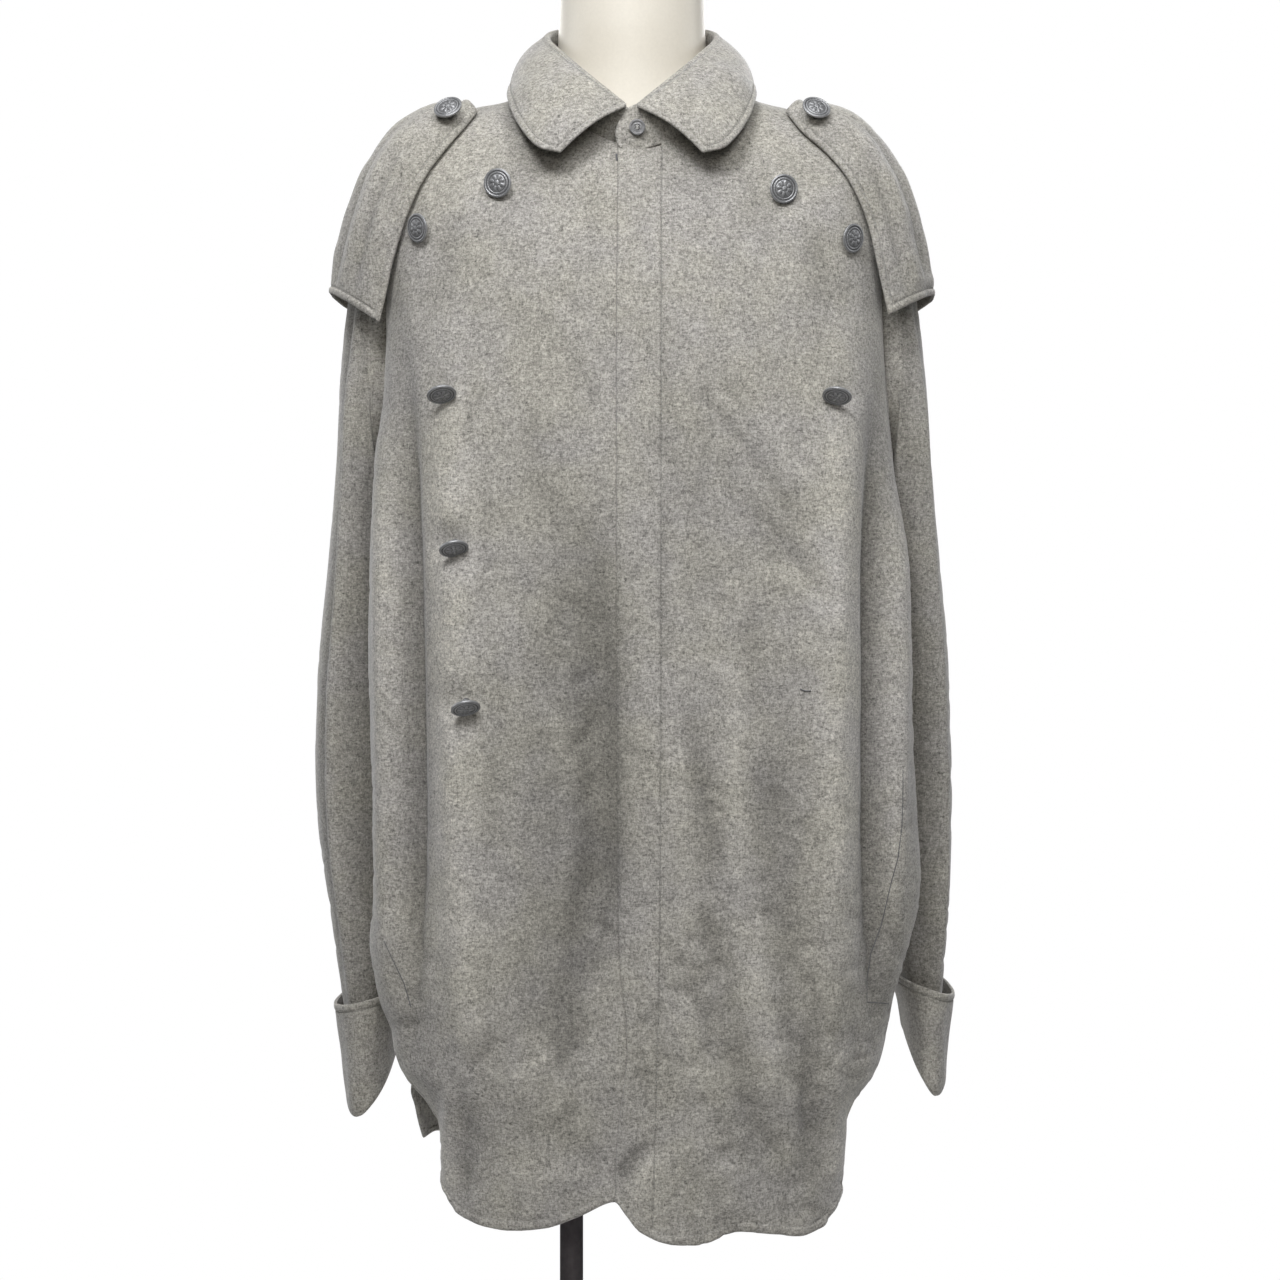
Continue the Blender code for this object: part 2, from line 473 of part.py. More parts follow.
def collar_point(u, v, out=0.0):
    """Collar leaf: u -8..8 round from the wearer's right point by the back, v roll to edge."""
    au = 8.0 - np.abs(u)
    c = {k: column(COLLAR, COLLAR_COLS, k, au) for k in COLLAR_COLS}
    s = np.sign(u)
    roll = np.stack((s * c["xr"] + NECK_SHIFT_X, c["yr"], c["zr"]), -1)
    edge = np.stack((s * c["xe"] + NECK_SHIFT_X, c["ye"], c["ze"]), -1)
    away = unit(np.stack((s * (c["xr"] + 0.01), c["yr"] * 1.0, 0.055 + 0 * c["zr"]), -1))
    belly = np.sin(np.pi * np.clip(v, 0, 1)) * 0.0065
    return roll + (edge - roll) * v[..., None] + away * (belly + out)[..., None]


# ----------------------------------------------------------------------------- meshes
def clear_scene():
    for obj in list(bpy.data.objects):
        bpy.data.objects.remove(obj, do_unlink=True)


def material(name, colour, rough, metal=0.0):
    mat = bpy.data.materials.new(name)
    mat.use_nodes = True
    node = mat.node_tree.nodes["Principled BSDF"]
    node.inputs["Base Color"].default_value = (*colour, 1.0)
    node.inputs["Roughness"].default_value = rough
    node.inputs["Metallic"].default_value = metal
    return mat


def sheet_object(name, grid, wall, mat, group, around=False):
    """An open sheet through a grid of points [row, column], given its wall by Solidify."""
    rows, cols = grid.shape[:2]
    bm = bmesh.new()
    verts = [[bm.verts.new(grid[i, j]) for j in range(cols)] for i in range(rows)]
    last = cols if around else cols - 1
    for i in range(rows - 1):
        for j in range(last):
            k = (j + 1) % cols
            bm.faces.new((verts[i][j], verts[i + 1][j], verts[i + 1][k], verts[i][k]))
    bm.normal_update()
    mesh = bpy.data.meshes.new(name)
    bm.to_mesh(mesh)
    bm.free()
    mesh.shade_smooth()
    obj = bpy.data.objects.new(name, mesh)
    group.objects.link(obj)
    obj.data.materials.append(mat)
    mod = obj.modifiers.new("wall", "SOLIDIFY")
    mod.thickness = wall
    mod.offset = 0.0
    mod.use_rim = True
    mod.use_even_offset = False
    return obj


def turned(name, profile, mat, group, steps=24):
    """A profile of (radius, height) pairs, outer side top to bottom, turned round Z."""
    bm = bmesh.new()
    closed = profile[0] == profile[-1]
    verts = [bm.verts.new((r, 0.0, z)) for r, z in (profile[:-1] if closed else profile)]
    if closed:
        verts.append(verts[0])
    for a, b in zip(verts[:-1], verts[1:]):
        bm.edges.new((a, b))
    mesh = bpy.data.meshes.new(name)
    bm.to_mesh(mesh)
    bm.free()
    obj = bpy.data.objects.new(name, mesh)
    group.objects.link(obj)
    obj.data.materials.append(mat)
    mod = obj.modifiers.new("turn", "SCREW")
    mod.axis = "Z"
    mod.angle = 2 * math.pi
    mod.steps = steps
    mod.render_steps = steps
    mod.use_merge_vertices = True
    mod.merge_threshold = 0.0001
    mod.use_smooth_shade = True
    return obj


def place(obj, point, axis):
    """Stand an object's +Z along axis, its origin at point."""
    z = Vector(axis).normalized()
    up = Vector((0, 0, 1)) if abs(z.z) < 0.95 else Vector((0, 1, 0))
    x = up.cross(z).normalized()
    y = z.cross(x)
    obj.matrix_world = Matrix.Translation(Vector(point)) @ Matrix(
        ((x.x, y.x, z.x, 0), (x.y, y.y, z.y, 0), (x.z, y.z, z.z, 0), (0, 0, 0, 1)))


def row_steps(stops, counts):
    """Row numbers that pass exactly through each stop."""
    out = [stops[0]]
    for a, b, n in zip(stops[:-1], stops[1:], counts):
        out.extend(a + (b - a) * (k + 1) / n for k in range(n))
    return np.array(out)


# ----------------------------------------------------------------------------- pieces
def front_panel(side, nu, counts):
    """A front from its centre edge to the shoulder seam, armhole, side seam and tail edge."""
    t = row_steps((0.0, T_TIP, T_UNDERARM, T_VENT, T_HEM), counts)
    edge = side * panel_edge("e_f", t)
    if side > 0:
        centre = q_of_x(PLACKET_SEAM_X + SEAM_GAP / 2, t)
    else:
        centre = q_of_x(UNDER_EDGE_X, t)
    speed = np.linalg.norm(body_base(edge + 0.01, t) - body_base(edge - 0.01, t), axis=-1) / 0.02
    edge = edge - side * (SEAM_GAP / 2) / np.maximum(speed, 0.02)
    k = np.linspace(0.0, 1.0, nu + 1)
    q = centre[:, None] + (edge - centre)[:, None] * k[None, :]
    tt = np.broadcast_to(t[:, None], q.shape)
    lift = 0.0
    if side > 0:
        x = body_base(q, tt)[..., 0]
        lift = PLACKET_LIFT * (1 - smoothstep(PLACKET_SEAM_X, PLACKET_SEAM_X + 0.045, x))
    return body_point(q, tt, lift + 0 * q)


def placket_grid(nu, counts):
    t = row_steps((0.18, T_TIP, T_UNDERARM, T_VENT, T_HEM), counts)
    a = q_of_x(PLACKET_EDGE_X, t)
    b = q_of_x(PLACKET_SEAM_X - SEAM_GAP / 2, t)
    k = np.linspace(0.0, 1.0, nu + 1)
    q = a[:, None] + (b - a)[:, None] * k[None, :]
    tt = np.broadcast_to(t[:, None], q.shape)
    return body_point(q, tt, PLACKET_LIFT + 0.0002 + 0 * q)


def back_panel(nu, counts):
    t = row_steps((0.0, T_TIP, T_UNDERARM, T_VENT, T_HEM), counts)
    e = panel_edge("e_b", t)
    edges = []
    for side in (1, -1):
        q = side * e
        speed = np.linalg.norm(body_base(q + 0.01, t) - body_base(q - 0.01, t), axis=-1) / 0.02
        edges.append(q + side * (SEAM_GAP / 2) / np.maximum(speed, 0.02))
    k = np.linspace(0.0, 1.0, nu + 1)
    # one run from the left edge by the centre back to the right edge
    q = edges[0][:, None] + ((4.0 + edges[1]) - edges[0])[:, None] * k[None, :]
    q = np.where(q > 2.0, q - 4.0, q)
    tt = np.broadcast_to(t[:, None], q.shape)
    return body_point(q, tt)


def cape_grid(side, table, nu, nv):
    r = np.linspace(0.0, len(table) - 1.0, nv + 1)
    a = np.linspace(-1.0, 1.0, nu + 1)
    aa, rr = np.meshgrid(a, r)
    return cape_point(side, table, aa, rr)


def collar_grid(nu, nv):
    u = np.linspace(-8.0, 8.0, nu + 1)
    v = np.linspace(0.0, 1.0, nv + 1)
    uu, vv = np.meshgrid(u, v)
    return collar_point(uu, vv)


STAND_DROP = 0.0034       # the stand stops this far under the roll line
STAND_IN = 0.0030         # and lies this far inside it


def stand_grid(nu, nv):
    """Stand: from its right (under) end round the back to its left (over) end."""
    u = np.linspace(-8.0, 8.0, nu + 1)
    v = np.linspace(0.0, 1.0, nv + 1)
    au = 8.0 - np.abs(u)
    s = np.where(u < 0, -1.0, 1.0)
    c = {k: column(COLLAR, COLLAR_COLS, k, au) for k in COLLAR_COLS}
    away = unit(np.stack((s * c["xr"], c["yr"], 0 * c["xr"]), -1))
    top = np.stack((s * c["xr"] + NECK_SHIFT_X, c["yr"], c["zr"] - STAND_DROP), -1) - away * STAND_IN
    q = s * 2.0 * (au / 8.0) ** 0.92
    q = np.clip(q, -1.9999, 1.9999)
    low = body_base(q, np.zeros_like(q))
    low[:, 2] += 0.0022
    ends = 1 - smoothstep(0.0, 1.6, au)
    # both ends run past the centre front, the left one outside the right one
    top[:, 0] += -s * ends * 0.013
    low[:, 0] += -s * ends * 0.013
    deep = 1 - smoothstep(1.0, 3.2, au)
    tip = 1 - smoothstep(0.0, 1.3, au)
    top[:, 1] += np.where(s > 0, 0.0005, 0.0066) * deep + np.where(s > 0, 0.0, 0.0030) * tip
    low[:, 1] += np.where(s > 0, -0.0046, 0.0022) * deep + np.where(s > 0, 0.0, 0.0015) * tip
    top[:, 2] -= 0.0030 * ends
    vv = v[:, None, None]
    belly = np.sin(np.pi * v)[:, None, None] * 0.0015
    return low[None] * (1 - vv) + top[None] * vv + away[None] * belly


def form_torso(mat, group, count=32, rows=27):
    """Limbless form: neck, shoulders, chest and hips in one smooth closed body, flat below."""
    r = np.linspace(0.0, len(FORM) - 1.0, rows)
    c = {k: column(FORM, FORM_COLS, k, r) for k in FORM_COLS}
    bm = bmesh.new()
    rings = []
    for i in range(rows):
        ring = []
        for j in range(count):
            a = 2 * math.pi * j / count
            s, k = math.sin(a), math.cos(a)
            n = 2.0 + 0.35 * float(1 - smoothstep(1.40, 1.45, c["z"][i]))
            x = c["w"][i] * math.copysign(abs(s) ** (2 / n), s) + NECK_SHIFT_X * float(smoothstep(1.0, 1.4, c["z"][i]))
            depth = c["y_f"][i] if k > 0 else c["y_b"][i]
            y = depth * abs(k) ** (2 / n)
            dz = (c["dz_f"][i] if k > 0 else c["dz_b"][i]) * k * k
            ring.append(bm.verts.new((x, y, c["z"][i] + dz)))
        rings.append(ring)
    cap = []
    for v in rings[-1]:
        inset = 1 - FORM_CAP_INSET / 0.06
        cap.append(bm.verts.new(((v.co.x - NECK_SHIFT_X) * inset + NECK_SHIFT_X, v.co.y * inset, FORM_CAP_Z)))
    rings.append(cap)
    for a, b in zip(rings[:-1], rings[1:]):
        for j in range(count):
            k = (j + 1) % count
            bm.faces.new((a[k], a[j], b[j], b[k]))
    bm.faces.new(rings[0])
    bm.faces.new(list(reversed(rings[-1])))
    bmesh.ops.recalc_face_normals(bm, faces=bm.faces)
    mesh = bpy.data.meshes.new("form_torso")
    bm.to_mesh(mesh)
    bm.free()
    mesh.shade_smooth()
    obj = bpy.data.objects.new("form_torso", mesh)
    group.objects.link(obj)
    obj.data.materials.append(mat)
    return obj


def button_profile():
    """Domed disc on a short shank, outer side top to bottom, base at height 0."""
    h = SHANK_H
    return (
        (0.0, h + BUTTON_H), (0.0055, h + BUTTON_H - 0.0006), (BUTTON_R - 0.0010, h + BUTTON_H - 0.0018),
        (BUTTON_R, h + 0.0014), (BUTTON_R - 0.0018, h), (SHANK_R, h), (SHANK_R, 0.0), (0.0, 0.0),
    )


def main():
    clear_scene()
    coat = bpy.data.collections.new("coat")
    bpy.context.scene.collection.children.link(coat)
    stand = bpy.data.collections.new("dress_form")
    bpy.context.scene.collection.children.link(stand)

    flannel = material("flannel_grey_melange", (0.36, 0.355, 0.335), 0.92)
    cream = material("form_cream", (0.84, 0.80, 0.70), 0.55)
    steel = material("pole_dark_metal", (0.10, 0.10, 0.11), 0.35, 1.0)
    plate = material("base_steel", (0.30, 0.30, 0.31), 0.38, 1.0)
    antique = material("button_antique_metal", (0.20, 0.20, 0.21), 0.42, 0.9)
    plastic = material("button_grey_plastic", (0.28, 0.28, 0.28), 0.40)

    # fronts, fly strip and back
    sheet_object("front_right", front_panel(-1, 13, (4, 5, 11, 5)), WALL, flannel, coat)
    sheet_object("front_left", front_panel(1, 13, (4, 5, 11, 5)), WALL, flannel, coat)
    sheet_object("placket", placket_grid(2, (4, 4, 10, 5)), WALL_PLACKET, flannel, coat)
    sheet_object("back", back_panel(18, (4, 5, 10, 5)), WALL, flannel, coat)

    # sleeves and turned-back cuffs
    for side, name, sleeve, cuff in ((-1, "right", SLEEVE_R, CUFF_R), (1, "left", SLEEVE_L, CUFF_L)):
        sheet_object("sleeve_" + name, sleeve_grid(side, sleeve, 16, 15), WALL, flannel, coat, True)
        sheet_object("cuff_" + name, cuff_grid(side, cuff, 16, (0.0, 1.0, 2.0, 3.0, 4.0, 5.0)),
                     WALL, flannel, coat, True)

    # shoulder capelets
    sheet_object("capelet_right", cape_grid(-1, CAPE_R, 12, 10), WALL_FLAP, flannel, coat)
    sheet_object("capelet_left", cape_grid(1, CAPE_L, 12, 10), WALL_FLAP, flannel, coat)

    # collar leaf and stand
    sheet_object("collar", collar_grid(24, 4), WALL_COLLAR, flannel, coat)
    sheet_object("collar_stand", stand_grid(24, 2), WALL_COLLAR, flannel, coat)

    # metal buttons
    for name, x, z, turn, tip, seat in BUTTONS:
        side = -1.0 if x < 0 else 1.0
        q, t = find_on_body(np.array(x), np.array(z), side * 0.6, 6.0)
        out = body_point(q, t, WALL / 2 + 0.0005)
        n = body_normal(q, t)
        obj = turned(name, button_profile(), antique, coat, 16)
        yaw, pitch = math.radians(turn), math.radians(tip)
        axis = Vector((math.sin(yaw) * math.cos(pitch), -math.cos(yaw) * math.cos(pitch), -math.sin(pitch)))
        nv = Vector(n)
        # a tipped button's rim is held clear of the cloth under it
        ca = max(-1.0, min(1.0, axis.dot(nv)))
        sa = math.sqrt(1.0 - ca * ca)
        rise = max(SHANK_R * sa, BUTTON_R * sa - (SHANK_H + 0.0014) * ca)
        place(obj, Vector(out) + nv * rise, axis)

    # shoulder buttons hang over the front of the capelets' neck ends
    for name, side, table, a, r, axis in (
            ("button_right_shoulder", -1, CAPE_R, -0.76, 1.20, (-0.24, -0.74, 0.63)),
            ("button_left_shoulder", 1, CAPE_L, -0.74, 1.10, (0.22, -0.76, 0.61))):
        e = 0.02
        aa, rr = np.array(a), np.array(r)
        p = cape_point(side, table, aa, rr)
        du = cape_point(side, table, aa + e, rr) - cape_point(side, table, aa - e, rr)
        dv = cape_point(side, table, aa, rr + e) - cape_point(side, table, aa, rr - e)
        n = unit(np.cross(du, dv))
        n = n if n[2] > 0 else -n
        obj = turned(name, button_profile(), antique, coat, 16)
        place(obj, Vector(p) + Vector(n) * (WALL_FLAP / 2 + 0.0022), Vector(axis).normalized())

    # small button that closes the stand
    r, h = COLLAR_BUTTON_R, COLLAR_BUTTON_H
    obj = turned("button_collar", (
        (0.0, h - 0.0007), (r * 0.62, h - 0.0006), (r * 0.78, h), (r - 0.0004, h - 0.0002),
        (r, h - 0.0008), (r, 0.0006), (r - 0.0006, 0.0), (0.0, 0.0)), plastic, coat, 20)
    place(obj, (-0.0005, -0.0962, 1.4050), (0.0, -0.995, -0.10))

    # dress form, pole, flange and base
    form_torso(cream, stand)
    turned("form_flange", ((0.0, 0.0), (FLANGE_R - 0.001, 0.0), (FLANGE_R, -0.001),
                           (FLANGE_R, -FLANGE_H + 0.001), (FLANGE_R - 0.001, -FLANGE_H),
                           (0.0, -FLANGE_H)), plate, stand, 32).location = (POLE_X, 0.0, FORM[0][0] - FIT_GAP)
    low = BASE_H + FIT_GAP
    turned("form_pole", ((0.0, POLE_TOP - FIT_GAP), (POLE_R, POLE_TOP - FIT_GAP), (POLE_R, low), (0.0, low)),
           steel, stand, 24).location = (POLE_X, 0.0, 0.0)
    ri = POLE_R + FIT_GAP
    ring = ((ri, low + SOCKET_H), (SOCKET_R - 0.004, low + SOCKET_H), (SOCKET_R, low + SOCKET_H - 0.004),
            (SOCKET_R, low), (ri, low), (ri, low + SOCKET_H))
    turned("form_socket", ring, steel, stand, 24).location = (POLE_X, 0.0, 0.0)
    turned("form_base", ((0.0, BASE_H), (BASE_R - 0.004, BASE_H), (BASE_R - 0.001, BASE_H - 0.001),
                         (BASE_R, BASE_H - 0.004), (BASE_R, 0.0015), (BASE_R - 0.0015, 0.0), (0.0, 0.0)),
           plate, stand, 48)


main()
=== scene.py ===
"""Looks of the oversized flannel shirt coat on its limbless dress form, built round the CAD frame.

Metres, +Z up, the coat faces -Y.  The cloth follows the same sections as the CAD, on fine grids,
with its creases, hems, seams and stitching added.  Creases on the parts that the camera
sees are placed in view units: 1280 to the frame's width, u to the right and v down.
"""
import json
import math

import bpy
import bmesh
import numpy as np
from mathutils import Matrix, Vector
from mathutils.bvhtree import BVHTree

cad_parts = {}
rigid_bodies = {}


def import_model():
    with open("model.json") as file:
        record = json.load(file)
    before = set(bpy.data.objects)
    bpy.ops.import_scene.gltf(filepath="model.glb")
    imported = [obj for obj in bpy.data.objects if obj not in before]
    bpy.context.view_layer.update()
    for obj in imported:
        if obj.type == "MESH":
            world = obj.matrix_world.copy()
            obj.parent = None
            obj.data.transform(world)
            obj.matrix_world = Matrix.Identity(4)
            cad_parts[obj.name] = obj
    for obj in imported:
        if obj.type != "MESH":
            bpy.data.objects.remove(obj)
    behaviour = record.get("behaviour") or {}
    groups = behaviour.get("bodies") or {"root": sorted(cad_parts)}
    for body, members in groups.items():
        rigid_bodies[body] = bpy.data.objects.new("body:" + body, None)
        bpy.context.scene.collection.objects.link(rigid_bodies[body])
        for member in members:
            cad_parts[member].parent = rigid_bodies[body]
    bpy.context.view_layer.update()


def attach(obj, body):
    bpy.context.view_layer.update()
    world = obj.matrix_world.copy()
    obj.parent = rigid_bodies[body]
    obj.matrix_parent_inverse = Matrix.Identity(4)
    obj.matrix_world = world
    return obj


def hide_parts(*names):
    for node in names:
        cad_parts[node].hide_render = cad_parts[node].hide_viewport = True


for old in list(bpy.data.objects):
    bpy.data.objects.remove(old, do_unlink=True)
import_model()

# ----------------------------------------------------------------------------- sizes
WALL = 0.0022            # body and sleeve flannel
WALL_FLAP = 0.0024       # shoulder capelets, two layers bagged out
WALL_COLLAR = 0.0028     # collar leaf and stand, interfaced
WALL_PLACKET = 0.0028    # folded fly strip
SEAM_GAP = 0.0009        # between the cut edges of two pieces at a seam

PLACKET_EDGE_X = -0.0172     # free edge of the fly strip, wearer's left over right
PLACKET_SEAM_X = 0.0195      # its stitched edge
UNDER_EDGE_X = 0.0100        # front edge of the under front
PLACKET_LIFT = 0.0032        # step from the under front to the strip

BUTTON_R = 0.0115            # metal shank button
BUTTON_H = 0.0042
SHANK_R = 0.0030
SHANK_H = 0.0042
COLLAR_BUTTON_R = 0.0064
COLLAR_BUTTON_H = 0.0024

POLE_X = -0.0545
POLE_R = 0.0095
POLE_TOP = 0.7705
FLANGE_R = 0.045
FLANGE_H = 0.0092
BASE_R = 0.170
BASE_H = 0.012
SOCKET_R = 0.024
SOCKET_H = 0.030
FIT_GAP = 0.0004

# ----------------------------------------------------------------------------- tables
# Body sections, from the neck seam down to the hem.  z is the height at the sides, w_r and w_l
# the half widths of the wearer's right and left, y_f, y_w, y_b the front, widest and back
# depths, dz_f and dz_b how far the ring dips at the centre front and back, n its squareness,
# pinch how far the side is drawn in behind the widest point, e_f and e_b where the front and
# the back panel end (0 centre front, 1 side, 2 centre back).
BODY_COLS = ("z", "w_r", "w_l", "y_f", "y_w", "y_b", "dz_f", "dz_b", "n", "pinch", "e_f", "e_b")
BODY = (
    (1.4520, 0.083, 0.073, -0.089, 0.000, 0.068, -0.061, 0.008, 2.0, 0.00, 1.00, 1.00),
    (1.4400, 0.106, 0.096, -0.100, 0.000, 0.083, -0.077, -0.006, 2.1, 0.00, 1.00, 1.00),
    (1.4335, 0.133, 0.123, -0.108, 0.000, 0.098, -0.101, -0.022, 2.2, 0.00, 1.00, 1.00),
    (1.4220, 0.165, 0.156, -0.115, 0.002, 0.110, -0.117, -0.035, 2.3, 0.00, 1.00, 1.00),
    (1.3970, 0.196, 0.188, -0.121, 0.004, 0.120, -0.122, -0.045, 2.4, 0.00, 1.00, 1.00),
    (1.3450, 0.204, 0.196, -0.126, 0.001, 0.128, -0.104, -0.035, 2.5, 0.01, 0.90, 1.17),
    (1.2650, 0.204, 0.198, -0.131, -0.010, 0.135, -0.062, -0.015, 2.5, 0.05, 0.93, 1.20),
    (1.1900, 0.206, 0.203, -0.136, -0.020, 0.140, -0.020, 0.000, 2.5, 0.11, 1.03, 1.24),
    (1.1450, 0.2095, 0.2065, -0.138, -0.025, 0.142, -0.005, 0.000, 2.5, 0.14, 1.22, 1.22),
    (1.0500, 0.2145, 0.2135, -0.141, -0.030, 0.145, 0.000, 0.000, 2.5, 0.16, 1.22, 1.22),
    (0.9600, 0.2155, 0.2185, -0.142, -0.030, 0.147, 0.000, 0.000, 2.5, 0.17, 1.22, 1.22),
    (0.8700, 0.2125, 0.2250, -0.142, -0.030, 0.148, 0.000, 0.000, 2.5, 0.18, 1.22, 1.22),
    (0.8000, 0.2115, 0.2275, -0.140, -0.030, 0.147, 0.000, 0.000, 2.5, 0.18, 1.22, 1.22),
    (0.7550, 0.2150, 0.2180, -0.139, -0.030, 0.146, 0.000, 0.000, 2.5, 0.17, 1.22, 1.22),
    (0.7120, 0.2075, 0.2065, -0.138, -0.030, 0.145, 0.000, 0.000, 2.5, 0.14, 1.22, 1.22),
    (0.6900, 0.2000, 0.2020, -0.137, -0.032, 0.144, 0.000, 0.000, 2.4, 0.12, 1.20, 1.24),
    (0.6550, 0.1915, 0.1925, -0.136, -0.036, 0.143, 0.000, 0.000, 2.3, 0.06, 1.04, 1.26),
    (0.6200, 0.1680, 0.1690, -0.134, -0.042, 0.141, 0.000, 0.000, 2.2, 0.00, 0.98, 1.27),
    (0.5880, 0.1575, 0.1650, -0.132, -0.046, 0.139, 0.000, 0.000, 2.2, 0.00, 1.04, 1.29),
    (0.5450, 0.1560, 0.1625, -0.130, -0.048, 0.137, 0.000, 0.000, 2.2, 0.00, 0.98, 1.34),
)
T_TIP, T_UNDERARM, T_VENT, T_HEM = 4.0, 8.0, 15.0, 19.0

# Half widths of the back tail, which hangs free below the vents (rows as in BODY).
BACK_TAIL_COLS = ("t", "w_r", "w_l")
BACK_TAIL = (
    (15.0, 0.2010, 0.2010), (16.0, 0.2000, 0.1960), (17.0, 0.2010, 0.1755), (18.0, 0.2000, 0.1715),
    (19.0, 0.2020, 0.1700),
)

# Hem height across the front and across the back tail.
HEM_FRONT_COLS = ("x", "z")
HEM_FRONT = (
    (-0.160, 0.572), (-0.152, 0.5585), (-0.144, 0.5460), (-0.125, 0.5395), (-0.103, 0.5377),
    (-0.074, 0.5408), (-0.046, 0.5510), (-0.0172, 0.5630), (-0.0086, 0.5525), (0.002, 0.5400),
    (0.027, 0.5300), (0.045, 0.5290), (0.078, 0.5380), (0.109, 0.5346), (0.128, 0.5314),
    (0.146, 0.5350), (0.155, 0.5440), (0.166, 0.5640),
)
HEM_BACK = (
    (-0.190, 0.5830), (-0.182, 0.5842), (-0.170, 0.5890), (-0.152, 0.5790), (-0.120, 0.5570), (-0.060, 0.5430),
    (0.000, 0.5400), (0.060, 0.5430), (0.120, 0.5540), (0.150, 0.5720), (0.172, 0.5860),
)

# Largest standing folds: x and z of the middle, half length, half width and depth (out +).
FOLD_COLS = ("x", "z", "half_l", "half_w", "depth")
FOLDS_FRONT = (
    (-0.165, 0.930, 0.330, 0.017, -0.0110),
    (-0.128, 0.900, 0.320, 0.022, 0.0060),
    (-0.190, 0.980, 0.240, 0.012, 0.0030),
    (0.174, 0.900, 0.320, 0.016, -0.0105),
    (0.146, 0.920, 0.320, 0.019, 0.0060),
    (-0.060, 0.700, 0.160, 0.030, 0.0040),
    (0.085, 0.680, 0.170, 0.030, 0.0045),
    (-0.030, 0.780, 0.220, 0.026, -0.0050),
)
FOLDS_BACK = (
    (-0.125, 0.900, 0.330, 0.024, 0.0070),
    (-0.080, 0.860, 0.340, 0.022, -0.0065),
    (-0.020, 0.950, 0.330, 0.030, 0.0050),
    (0.060, 0.880, 0.350, 0.024, -0.0060),
    (0.115, 0.920, 0.330, 0.024, 0.0075),
)

# Sleeve rings from the crown to the cuff: outer, inner, front and back points.
SLEEVE_COLS = ("xo", "zo", "xi", "zi", "xm", "yf", "zf", "yb", "zb")
SLEEVE_R = (
    (0.2070, 1.3780, 0.2010, 1.1450, 0.2060, -0.030, 1.255, 0.056, 1.255),
    (0.2180, 1.3550, 0.2040, 1.1330, 0.2130, -0.028, 1.236, 0.064, 1.236),
    (0.2285, 1.3230, 0.2045, 1.1190, 0.2180, -0.026, 1.212, 0.071, 1.212),
    (0.2385, 1.2760, 0.2040, 1.1020, 0.2230, -0.024, 1.182, 0.081, 1.182),
    (0.2445, 1.2150, 0.2030, 1.0820, 0.2275, -0.023, 1.150, 0.105, 1.150),
    (0.2475, 1.1450, 0.2010, 1.0520, 0.2300, -0.020, 1.100, 0.116, 1.100),
    (0.2540, 1.0700, 0.1990, 1.0130, 0.2320, -0.018, 1.042, 0.121, 1.042),
    (0.2620, 0.9900, 0.1980, 0.9600, 0.2350, -0.017, 0.975, 0.125, 0.975),
    (0.2660, 0.9200, 0.1985, 0.9100, 0.2370, -0.015, 0.915, 0.127, 0.915),
    (0.2640, 0.8500, 0.1990, 0.8500, 0.2370, -0.013, 0.850, 0.127, 0.850),
    (0.2560, 0.7850, 0.2000, 0.7850, 0.2330, -0.010, 0.785, 0.124, 0.785),
    (0.2480, 0.7250, 0.2020, 0.7300, 0.2290, -0.005, 0.725, 0.120, 0.727),
    (0.2400, 0.6750, 0.2060, 0.6950, 0.2250, 0.000, 0.675, 0.116, 0.685),
    (0.2325, 0.6280, 0.2100, 0.6620, 0.2210, 0.004, 0.628, 0.112, 0.650),
)
SLEEVE_L = (
    (0.1990, 1.3780, 0.1970, 1.1450, 0.1990, -0.030, 1.255, 0.056, 1.255),
    (0.2090, 1.3550, 0.2000, 1.1330, 0.2050, -0.028, 1.236, 0.064, 1.236),
    (0.2190, 1.3230, 0.2015, 1.1190, 0.2105, -0.026, 1.212, 0.071, 1.212),
    (0.2300, 1.2760, 0.2015, 1.1020, 0.2165, -0.024, 1.182, 0.081, 1.182),
    (0.2370, 1.2150, 0.2015, 1.0820, 0.2225, -0.023, 1.150, 0.105, 1.150),
    (0.2420, 1.1450, 0.2010, 1.0520, 0.2270, -0.020, 1.100, 0.116, 1.100),
    (0.2490, 1.0700, 0.1995, 1.0130, 0.2300, -0.018, 1.042, 0.121, 1.042),
    (0.2560, 0.9900, 0.1990, 0.9600, 0.2340, -0.016, 0.975, 0.125, 0.975),
    (0.2590, 0.9200, 0.2000, 0.9100, 0.2380, -0.012, 0.915, 0.127, 0.915),
    (0.2600, 0.8500, 0.2020, 0.8500, 0.2400, -0.009, 0.850, 0.127, 0.850),
    (0.2585, 0.7850, 0.2070, 0.7850, 0.2400, -0.006, 0.785, 0.124, 0.785),
    (0.2550, 0.7350, 0.2150, 0.7400, 0.2390, -0.002, 0.735, 0.120, 0.737),
    (0.2505, 0.6900, 0.2235, 0.7100, 0.2380, 0.001, 0.690, 0.116, 0.700),
    (0.2460, 0.6450, 0.2300, 0.6790, 0.2380, 0.004, 0.645, 0.112, 0.667),
)
